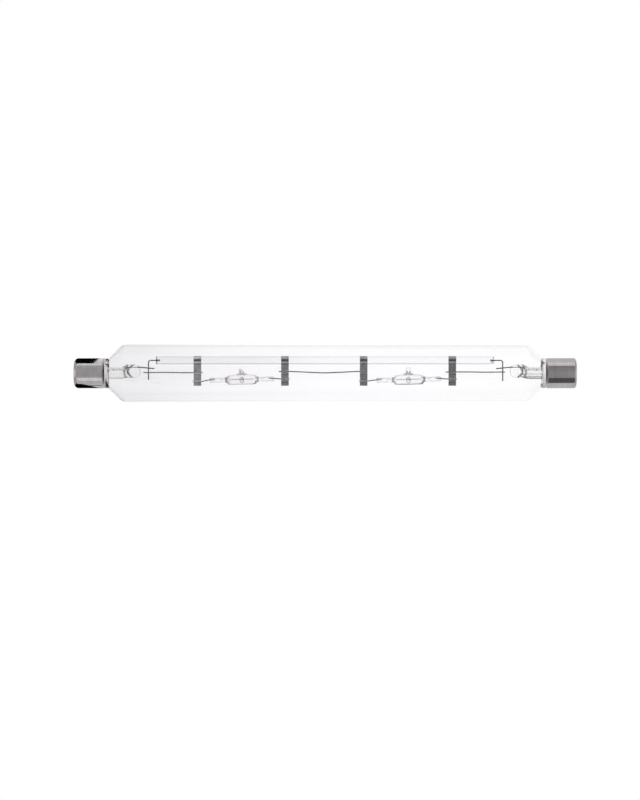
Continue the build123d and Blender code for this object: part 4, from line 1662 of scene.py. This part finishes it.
    def tip(self) -> Skin:
        """Carry a circle along the bent stalk where the filling tube was melted off.

        The stalk is an arc that leans to the left. The radius runs from the root through the
        waist and the drop to the end along cubic steps, and the end closes by a quarter ellipse.

        Returns:
            The tip's surface.
        """
        root, waist, drop, end = self.tip_radii
        lean = np.radians(self.tip_lean)
        bend = self.tip_height / lean
        closing = self.tip_closing
        nose = closing + (1 - closing) * np.sin(np.linspace(0, QUARTER, 12)[1:])
        share = np.concatenate([np.linspace(0, closing, 26), nose])
        turn = lean * share
        stalk = joined(-bend * (1 - np.cos(turn)), 0, self.bulb_radius + bend * np.sin(turn))
        foot = joined(0, 0, self.bulb_radius - np.array(self.tip_sunk))
        knots = np.array(self.tip_knots) * closing
        sizes = np.array([root, root * 0.86, waist, drop, end])
        index = np.clip(np.searchsorted(knots, share) - 1, 0, len(knots) - 2)
        step = smooth_step((share - knots[index]) / (knots[index + 1] - knots[index]))
        radius = sizes[index] + (sizes[index + 1] - sizes[index]) * step
        past = np.clip((share - closing) / (1 - closing), 0, 1)
        radius = radius * np.sqrt(np.clip(1 - past**2, 0.002, 1))
        radius = np.concatenate([[root * 1.15, root * 1.06], radius])
        return Skin.of_rings(self.hung(wire_rings(np.vstack([foot, stalk]), radius, 40)))

    def coil(self) -> Skin:
        """Carry a fine circle along a helix with a straight leg at each end.

        Along X the line's distance from the axis rises from nothing to the coil's radius at each
        end of the coil, and its angle turns once for each pitch.

        Returns:
            The coil's surface.
        """
        half = self.coil_length / 2
        turns = self.coil_length / self.coil_pitch
        leg = np.linspace(half, self.leg_reach, 14)[1:]
        x = np.concatenate([-leg[::-1], np.linspace(-half, half, int(turns * 14)), leg])
        wound = smooth_step(half - np.abs(x), -0.1, 0.35)
        angle = np.clip((x + half) / self.coil_pitch, 0, turns) * ROUND
        radial = joined(0, np.cos(angle), np.sin(angle))
        reach = (self.coil_diameter - self.coil_wire) / 2 * wound
        lift = self.leg_diameter / 2 * smooth_step(np.abs(x), half + 2.0, self.foil_start)
        path = joined(x, 0, lift) + reach[:, None] * radial
        radius = self.leg_diameter / 2 + (self.coil_wire - self.leg_diameter) / 2 * wound
        return Skin.of_rings(self.hung(wire_rings(path, radius, 8, radial)))

    def support(self) -> Skin:
        """Carry a circle along half turns that widen from the coil to the bulb's wall.

        Each half turn is an arc on the span between two stops along its own upright axis, and the
        last stretch follows the wall. The arcs lie in a plane that is turned about Z.

        Returns:
            The support's surface.
        """
        radius = self.support_diameter / 2
        tilt = np.radians(self.support_tilt)
        ring = (self.coil_diameter / 2 + radius + self.support_gap) / np.cos(tilt)
        wall = self.support_reach
        stops = [ring, -ring, (ring + wall) / 2, -wall]
        arcs = []
        for turn, (start, stop) in enumerate(zip(stops, stops[1:])):
            angle = np.pi * (turn % 2) + np.linspace(0, np.pi, 24)[:-1]
            reach = abs(start - stop) / 2
            arcs.append(joined((start + stop) / 2 + reach * np.cos(angle), reach * np.sin(angle)))
        angle = np.pi + np.linspace(0, np.radians(self.support_wrap), 30)
        arcs.append(wall * joined(np.cos(angle), np.sin(angle)))
        upright, aside = np.vstack(arcs).T
        path = joined(aside * np.sin(tilt), -aside * np.cos(tilt), upright)
        square = (np.cos(tilt), np.sin(tilt), 0)
        return Skin.of_rings(self.hung(wire_rings(path, radius, 10, square)))

    def foil(self, place: Place) -> Skin:
        """Carry a thin lens along X, so that the foil is feathered at its edges.

        Args:
            place: Whether it is at the outer or the inner end.

        Returns:
            The foil's surface.
        """
        share = np.linspace(0, 1, 24)
        x = self.side.value * place.value * (self.foil_start + self.foil_length * share)
        thin = self.foil_thickness / 2
        lift = self.foil_wave * np.sin(3 * np.pi * share) - thin
        return Skin.of_rings(self.hung(oval_rings(joined(x, self.foil_width / 2, thin, lift, 2), 32)))

    def pin(self, place: Place) -> Skin:
        """Bend a pin out of its pinch and through its strap, flattened where it lies on the foil.

        Args:
            place: Whether it is at the outer or the inner end.

        Returns:
            The pin's surface.
        """
        name = f"{self.side.word}_{place.word}"
        low, high = node_box(name + "_pin")
        strap_low, strap_high = node_box(name + "_strap")
        way = self.side.value * place.value
        outer, strap_edge = (high[0], strap_low[0]) if way > 0 else (low[0], strap_high[0])
        strap_z = low[2] + self.pin_diameter / 2
        inner = self.foil_start + self.foil_length - self.pin_overlap
        corners = [
            (way * inner, 0, 0),
            (way * (self.half + self.pin_straight), 0, 0),
            self.level(strap_edge - way * self.pin_straight, strap_z),
            self.level(outer, strap_z),
        ]
        path = bent_line(corners, [self.pin_bend] * 2, 0.5)
        points, passed = with_bevels(path, 0.25 * self.pin_diameter)
        rings = wire_rings(points, self.pin_diameter / 2 * cut_end(passed), 20)
        on_foil = 1 - smooth_step(np.abs(points[:, 0]) - inner, 0.9, 1.5)
        lifted = np.maximum(rings[..., 2], 0.004)
        rings[..., 2] += (lifted - rings[..., 2]) * on_foil[:, None]
        return Skin.of_rings(self.hung(rings))


# The studio

# Tones of the walls: an angle from the front or a place along X, the brightness and any tint there
LEFT_CAP_WALL = (
    (-180, 0.9), (-111, 0.75), (-109.5, 0.08), (-104, 0.08), (-102.5, 0.72),
    (-62, 0.6), (-57, 0.88), (-38, 0.88), (-32, 0.5), (-20, 0.42), (30, 0.44),
    (58, 0.5), (62, 0.9), (78, 0.85), (120, 1.0), (180, 0.9),
)
RIGHT_CAP_WALL = (
    (-180, 0.8), (-150, 0.62), (-81, 0.66), (-77, 0.12), (-38, 0.1), (-34, 0.34),
    (0, 0.36), (46, 0.27), (53, 0.22), (57, 0.66), (78, 0.9), (90, 0.7),
    (150, 0.62), (180, 0.8),
)
BACK_WALL = (
    (-180, 1.0), (-172, 0.965), (-150, 0.965), (-140, 0.78), (-90, 0.8), (0, 0.8),
    (90, 0.7), (140, 0.7), (150, 1.0), (180, 1.0),
)
LIMB_WALL = (
    (-180, 1.0), (-171, 0.95), (-163, 0.12), (-95, 0.12), (-60, 0.8), (60, 0.8),
    (95, 0.55), (140, 0.55), (156, 1.0), (180, 1.0),
)
FRONT_WALL = (
    (-180, 0.9), (-60, 0.9), (-34, 0.8), (-22, 0.5), (22, 0.5), (34, 0.8),
    (60, 1.0), (180, 1.0),
)
LAVENDER = (0.995, 0.985, 1.0)
GLASS_RISE = (
    (-0.156, 0.86, *LAVENDER), (-0.125, 0.835, *LAVENDER), (-0.105, 0.875, *LAVENDER),
    (-0.069, 0.94, *LAVENDER), (0.0, 1.0, *LAVENDER), (0.052, 1.0, *LAVENDER), (0.156, 1.0),
)
FRONT_FALL = ((-0.1, 1.0), (-0.08, 0.97), (-0.026, 0.63), (0.025, 0.57), (0.1, 0.5))
WHITE = (1.0, 1.0, 1.0)
BLACK = (0.0, 0.0, 0.0)


@dataclass
class Studio:
    """A white floor and surroundings, with flags that only shiny surfaces see, and a camera.

    The floor's reach and the flags' wall are in metres, and angles are in degrees from the front.
    """

    view_width: float = 395.0  # That the picture's width covers at the lamp
    picture: tuple[int, int] = (640, 800)
    lamp_pixel: Pair = (325.1, 373.2)
    lens: float = 200.0
    sensor: float = 36.0
    fill: float = 0.72
    key: float = 1.0
    key_spread: float = 40.0
    key_turn: Pair = (28.0, 14.0)  # About X and Y
    floor_gap: float = 0.1
    floor_reach: float = 6.0
    floor_tone: float = 0.86
    floor_glow: float = 0.26  # What brings it up to white in the picture
    end_light: float = 0.15  # Past the lamp's ends, seen through glass
    side_light: float = 0.3  # At the wall's ends, seen through glass
    wall_light: float = 1.1
    wall_radius: float = 0.15
    wall_half: float = 0.6
    wall_sides: int = 96
    glass_reach: Pair = (-0.16, 0.16)  # Span of the ramps along X
    outer_walls: float = 2.5  # Crossed walls below which the outer glass's front mirrors
    inner_walls: float = 4.5  # Crossed walls past which light was in the glass inside
    veil_reach: Pair = (-0.08, 0.05)  # Where the outer glass's mirror images gain strength
    veil: Pair = (0.4, 1.0)  # Their strength before and after
    facing_edge: Pair = (88.0, 100.0)  # Where the front wall ends
    cap_edge: Pair = (0.1405, 0.1425)  # Where the caps' own walls start
    cap_end: Pair = (0.255, 0.265)  # Where the caps' ends see a plain tone
    cap_end_tone: Triple = (0.47, 0.46, 0.47)
    upper_flag: Pair = (117.0, 39.0)  # Middle and half of the black flag over the left cap
    upper_slant: Pair = (78.0, 154.0)  # Angles between which its edge slants
    upper_edge: Pair = (-0.1494, -0.1462)  # Where its edge lies at those
    lower_flag: Pair = (-109.0, 49.0)  # The same under the left cap
    lower_bends: Triple = (-0.157, -0.1507, -0.1465)  # Where its edge starts, bends and stops
    lower_edge: Pair = (-87.0, -114.0)  # Its angle where it starts and bends
    lower_drop: float = -32.0  # Its fall from there
    far_reach: Pair = (0.19, 0.23)  # Where the wall's dim ends start
    far_share: float = 0.3  # How much they count for the outer glass
    limb_reach: Pair = (-0.06, 0.04)  # Where dark limbs of the glass inside gain strength
    limb_share: float = 0.45  # Their strength before that

    def build(self) -> None:
        """Build the floor, the flags, the light and the camera."""
        self.floor()
        self.flags()
        self.world()
        self.lamp()
        self.camera()
        cycles = bpy.context.scene.cycles
        cycles.max_bounces = 32
        cycles.transmission_bounces = 32
        cycles.glossy_bounces = 12
        cycles.transparent_max_bounces = 32
        bpy.context.scene.view_settings.view_transform = "Standard"

    def plain_object(
        self, name: str, points: Array, faces: Array, material: bpy.types.Material
    ) -> bpy.types.Object:
        """Make a stage object of points in metres and faces.

        Args:
            name: The object's name.
            points: Its points.
            faces: Four point numbers for each face.
            material: Its material.

        Returns:
            The object, linked to the scene.
        """
        mesh = bpy.data.meshes.new(name)
        mesh.from_pydata(points.tolist(), [], faces.tolist())
        mesh.materials.append(material)
        made = bpy.data.objects.new(name, mesh)
        bpy.context.scene.collection.objects.link(made)
        return made

    def floor(self) -> None:
        """Lay a wide white floor just under the lamp, which takes its shadow."""
        material, sheet = new_material("floor_white")
        path = sheet.add("LightPath").outputs
        seen = sheet.maths("MAXIMUM", path["Is Camera Ray"], path["Is Transmission Ray"])
        paper = sheet.add("BsdfDiffuse", {"Color": (*[self.floor_tone] * 3, 1)})
        strength = sheet.times(seen, self.floor_glow)
        glow = sheet.add("Emission", {"Color": (*WHITE, 1), "Strength": strength})
        sheet.surface(sheet.add("AddShader", {0: paper.outputs[0], 1: glow.outputs[0]}))
        level = CAD_BOX[0][2] - self.floor_gap * MM
        corners = self.floor_reach * np.array([(-1, -1), (1, -1), (1, 1), (-1, 1)])
        points = joined(corners[:, 0], corners[:, 1], level)
        made = self.plain_object("floor", points, np.array([[0, 1, 2, 3]]), material)
        made.visible_glossy = False
        made.visible_transmission = False

    def flags(self) -> None:
        """Set a wide tube of pale and dark walls round the lamp, seen only by way of its surfaces.

        The tube's points are X, and its radius times the cosine and sine of the angle.
        """
        material, sheet = new_material("flag_cloth")
        material.cycles.emission_sampling = "NONE"
        path = sheet.add("LightPath").outputs
        bounced = sheet.maths("GREATER_THAN", path["Glossy Depth"], 0.5)
        through = sheet.maths("GREATER_THAN", path["Transmission Depth"], 0.5)
        tones = self.wall_tones(sheet, path["Transmission Depth"], bounced, through)
        glow = sheet.add("Emission", {"Color": tones, "Strength": self.wall_light})
        clear = sheet.add("BsdfTransparent")
        shown = sheet.maths("MAXIMUM", bounced, through)
        sheet.surface(sheet.add("MixShader", {0: shown, 1: clear.outputs[0], 2: glow.outputs[0]}))
        sides = self.wall_sides
        angle = circle_angles(sides)
        x = np.array([[-self.wall_half], [self.wall_half]])
        points = joined(x, self.wall_radius * np.cos(angle), self.wall_radius * np.sin(angle))
        here = np.arange(sides)
        faces = joined(here, np.roll(here, -1), np.roll(here, -1) + sides, here + sides)
        made = self.plain_object("studio_flags", points.reshape(-1, 3), faces, material)
        made.visible_camera = False
        made.visible_diffuse = False
        made.visible_shadow = False

    def wall_tones(self, sheet: NodeSheet, walls: Socket, bounced: Socket, through: Socket) -> Socket:
        """Work out the colour of the flags' wall.

        Round the glass the wall's brightness is a ramp over the angle round X, the same in front
        and behind, times a rise from left to right. Mirror images in the metal see darker walls in
        front, and those in the caps a ramp of their own.

        Args:
            sheet: The node tree.
            walls: How many walls of glass the light has crossed.
            bounced: Whether it was mirrored.
            through: Whether it has crossed any glass.

        Returns:
            The colour.
        """
        place = sheet.axes()
        along = place["X"]
        aside = sheet.maths("ABSOLUTE", along)
        front = sheet.times(place["Y"], -1.0)
        behind = sheet.times(sheet.maths("ABSOLUTE", front), -1.0)
        turn = sheet.maths("DEGREES", sheet.maths("ARCTAN2", place["Z"], front))
        folded = sheet.maths("DEGREES", sheet.maths("ARCTAN2", place["Z"], behind))
        rise = self.ramp(sheet, along, GLASS_RISE, self.glass_reach)
        fall = self.ramp(sheet, along, FRONT_FALL, self.glass_reach)
        back = sheet.vector("MULTIPLY", self.ramp(sheet, folded, BACK_WALL), rise)
        ahead = sheet.vector("MULTIPLY", self.ramp(sheet, turn, FRONT_WALL), fall)
        outer = sheet.maths("LESS_THAN", walls, self.outer_walls)
        veil = sheet.blended(outer, WHITE, sheet.ranged(along, self.veil_reach, self.veil))
        facing = sheet.ranged(sheet.maths("ABSOLUTE", turn), self.facing_edge, (1, 0))
        tube = sheet.blended(sheet.times(facing, bounced), back, sheet.vector("MULTIPLY", ahead, veil))
        left_cap = sheet.ranged(sheet.times(along, -1.0), self.cap_edge)
        outside = sheet.blended(left_cap, tube, self.left_cap_tones(sheet, along, turn))
        right_cap = sheet.ranged(along, self.cap_edge)
        outside = sheet.blended(right_cap, outside, self.ramp(sheet, turn, RIGHT_CAP_WALL))
        outside = sheet.blended(sheet.ranged(aside, self.cap_end), outside, self.cap_end_tone)
        inner = sheet.maths("GREATER_THAN", walls, self.inner_walls)
        far = sheet.times(sheet.ranged(aside, self.far_reach), sheet.ranged(inner, FULL, (self.far_share, 1)))
        within = sheet.blended(far, tube, [self.side_light] * 3)
        limb = sheet.vector("MULTIPLY", self.ramp(sheet, turn, LIMB_WALL), rise)
        deep = sheet.times(sheet.ranged(along, self.limb_reach, (self.limb_share, 1)), inner, bounced)
        return sheet.blended(through, outside, sheet.blended(deep, within, limb))

    def left_cap_tones(self, sheet: NodeSheet, along: Socket, turn: Socket) -> Socket:
        """Work out what the left cap sees: a ramp over the angle, with two black flags before it.

        The upper flag ends along X at a slanted edge, and the lower one in angle at a bent edge.

        Args:
            sheet: The node tree.
            along: The place along X.
            turn: The angle from the front.

        Returns:
            The colour.
        """
        slant = sheet.ranged(turn, self.upper_slant, self.upper_edge)
        upper = sheet.maths("COMPARE", turn, *self.upper_flag)
        upper = sheet.times(upper, sheet.maths("LESS_THAN", along, slant))
        start, bend, stop = self.lower_bends
        edge = sheet.ranged(along, (start, bend), self.lower_edge)
        edge = sheet.maths("ADD", edge, sheet.ranged(along, (bend, stop), (0, self.lower_drop)))
        lower = sheet.maths("COMPARE", turn, *self.lower_flag)
        lower = sheet.times(lower, sheet.maths("LESS_THAN", turn, edge))
        tones = self.ramp(sheet, turn, LEFT_CAP_WALL)
        return sheet.blended(sheet.maths("MAXIMUM", upper, lower), tones, BLACK)

    def ramp(
        self, sheet: NodeSheet, place: Socket, stops: Sequence[Sequence[float]], span: Pair = (-180, 180)
    ) -> Socket:
        """Add a ramp of tones over a place.

        Args:
            sheet: The node tree.
            place: The place, as an angle or a distance.
            stops: Places of the span, each with its brightness and its colour where it has one.
            span: Where the ramp starts and stops.

        Returns:
            The ramp's colour.
        """
        node = sheet.add("ValToRGB", {"Fac": sheet.ranged(place, span)})
        elements = node.color_ramp.elements
        for number, (stop, light, *tint) in enumerate(stops):
            position = (stop - span[0]) / (span[1] - span[0])
            element = elements[number] if number < 2 else elements.new(position)
            element.position = position
            element.color = (*(light * part for part in tint or WHITE), 1)
        return node.outputs["Color"]

    def world(self) -> None:
        """Surround the lamp with white, dark at the lamp's two ends for what its glass bends there."""
        made = bpy.data.worlds.new("studio_world")
        bpy.context.scene.world = made
        made.use_nodes = True
        sheet = NodeSheet(made.node_tree)
        path = sheet.add("LightPath").outputs
        way = sheet.maths("ABSOLUTE", sheet.axes("Generated")["X"])
        ends = sheet.ranged(way, (0.6, 0.85), (1.0, self.end_light))
        through = sheet.maths("GREATER_THAN", path["Transmission Depth"], 0.5)
        shown = sheet.maths("MAXIMUM", ends, sheet.maths("SUBTRACT", 1.0, through))
        bent = sheet.maths("MAXIMUM", path["Is Glossy Ray"], path["Is Transmission Ray"])
        seen = sheet.maths("MAXIMUM", path["Is Camera Ray"], bent)
        white = sheet.add("Background", {"Color": (*WHITE, 1), "Strength": shown})
        fill = sheet.add("Background", {"Color": (*WHITE, 1), "Strength": self.fill})
        mixed = sheet.add("MixShader", {0: seen, 1: fill.outputs[0], 2: white.outputs[0]})
        sheet.surface(mixed, "OutputWorld")

    def lamp(self) -> None:
        """Hang a wide soft lamp overhead, a little to the front and the right."""
        data = bpy.data.lights.new("key_lamp", "SUN")
        data.energy = self.key
        data.angle = np.radians(self.key_spread)
        made = bpy.data.objects.new("key_lamp", data)
        made.rotation_euler = (*np.radians(self.key_turn), 0)
        made.visible_glossy = False
        made.visible_transmission = False
        bpy.context.scene.collection.objects.link(made)

    def camera(self) -> None:
        """Stand the camera level in front of the lamp, far off behind a long lens."""
        wide, high = self.picture
        scale = self.view_width / wide * MM
        distance = scale * high * self.lens / self.sensor
        data = bpy.data.cameras.new("camera")
        data.lens = self.lens
        data.sensor_width = self.sensor
        made = bpy.data.objects.new("camera", data)
        x = (wide / 2 - self.lamp_pixel[0]) * scale
        z = (self.lamp_pixel[1] - high / 2) * scale
        made.location = (x, -distance, z)
        made.rotation_euler = (QUARTER, 0, 0)
        bpy.context.scene.collection.objects.link(made)
        bpy.context.scene.camera = made


def main() -> None:
    """Build the lamp's sub-assemblies in order, then the studio."""
    logging.basicConfig(level=logging.INFO, format="%(message)s")
    stems = {side: Stem(side, exhaust=side is Side.RIGHT) for side in Side}
    assemblies = [
        Envelope(),
        EndCap(Side.LEFT, corner=3.0, cement_finish=CEMENT_WITH_SHADE),
        EndCap(Side.RIGHT, corner=1.8, cement_finish=PALE_CEMENT),
        *stems.values(),
        RodFrame(stems),
        Capsule(
            Side.LEFT, tip_lean=75.0, tip_height=3.4, tip_radii=(1.6, 1.25, 1.1, 0.6), tip_closing=0.93,
            quartz=QUARTZ, foot_shade_depth=0.85, drop_shade=(0.0, 1.1, 0.3)
        ),
        Capsule(
            Side.RIGHT, tip_lean=4.0, tip_height=3.9, tip_radii=(1.5, 1.22, 1.6, 1.7), tip_closing=0.6,
            quartz=CLEAR_QUARTZ, foot_shade_depth=0.95, drop_shade=(1.62, 0.16, 0.4)
        ),
    ]
    for assembly in assemblies:
        assembly.build()
    Studio().build()


if __name__ == "__main__":
    main()
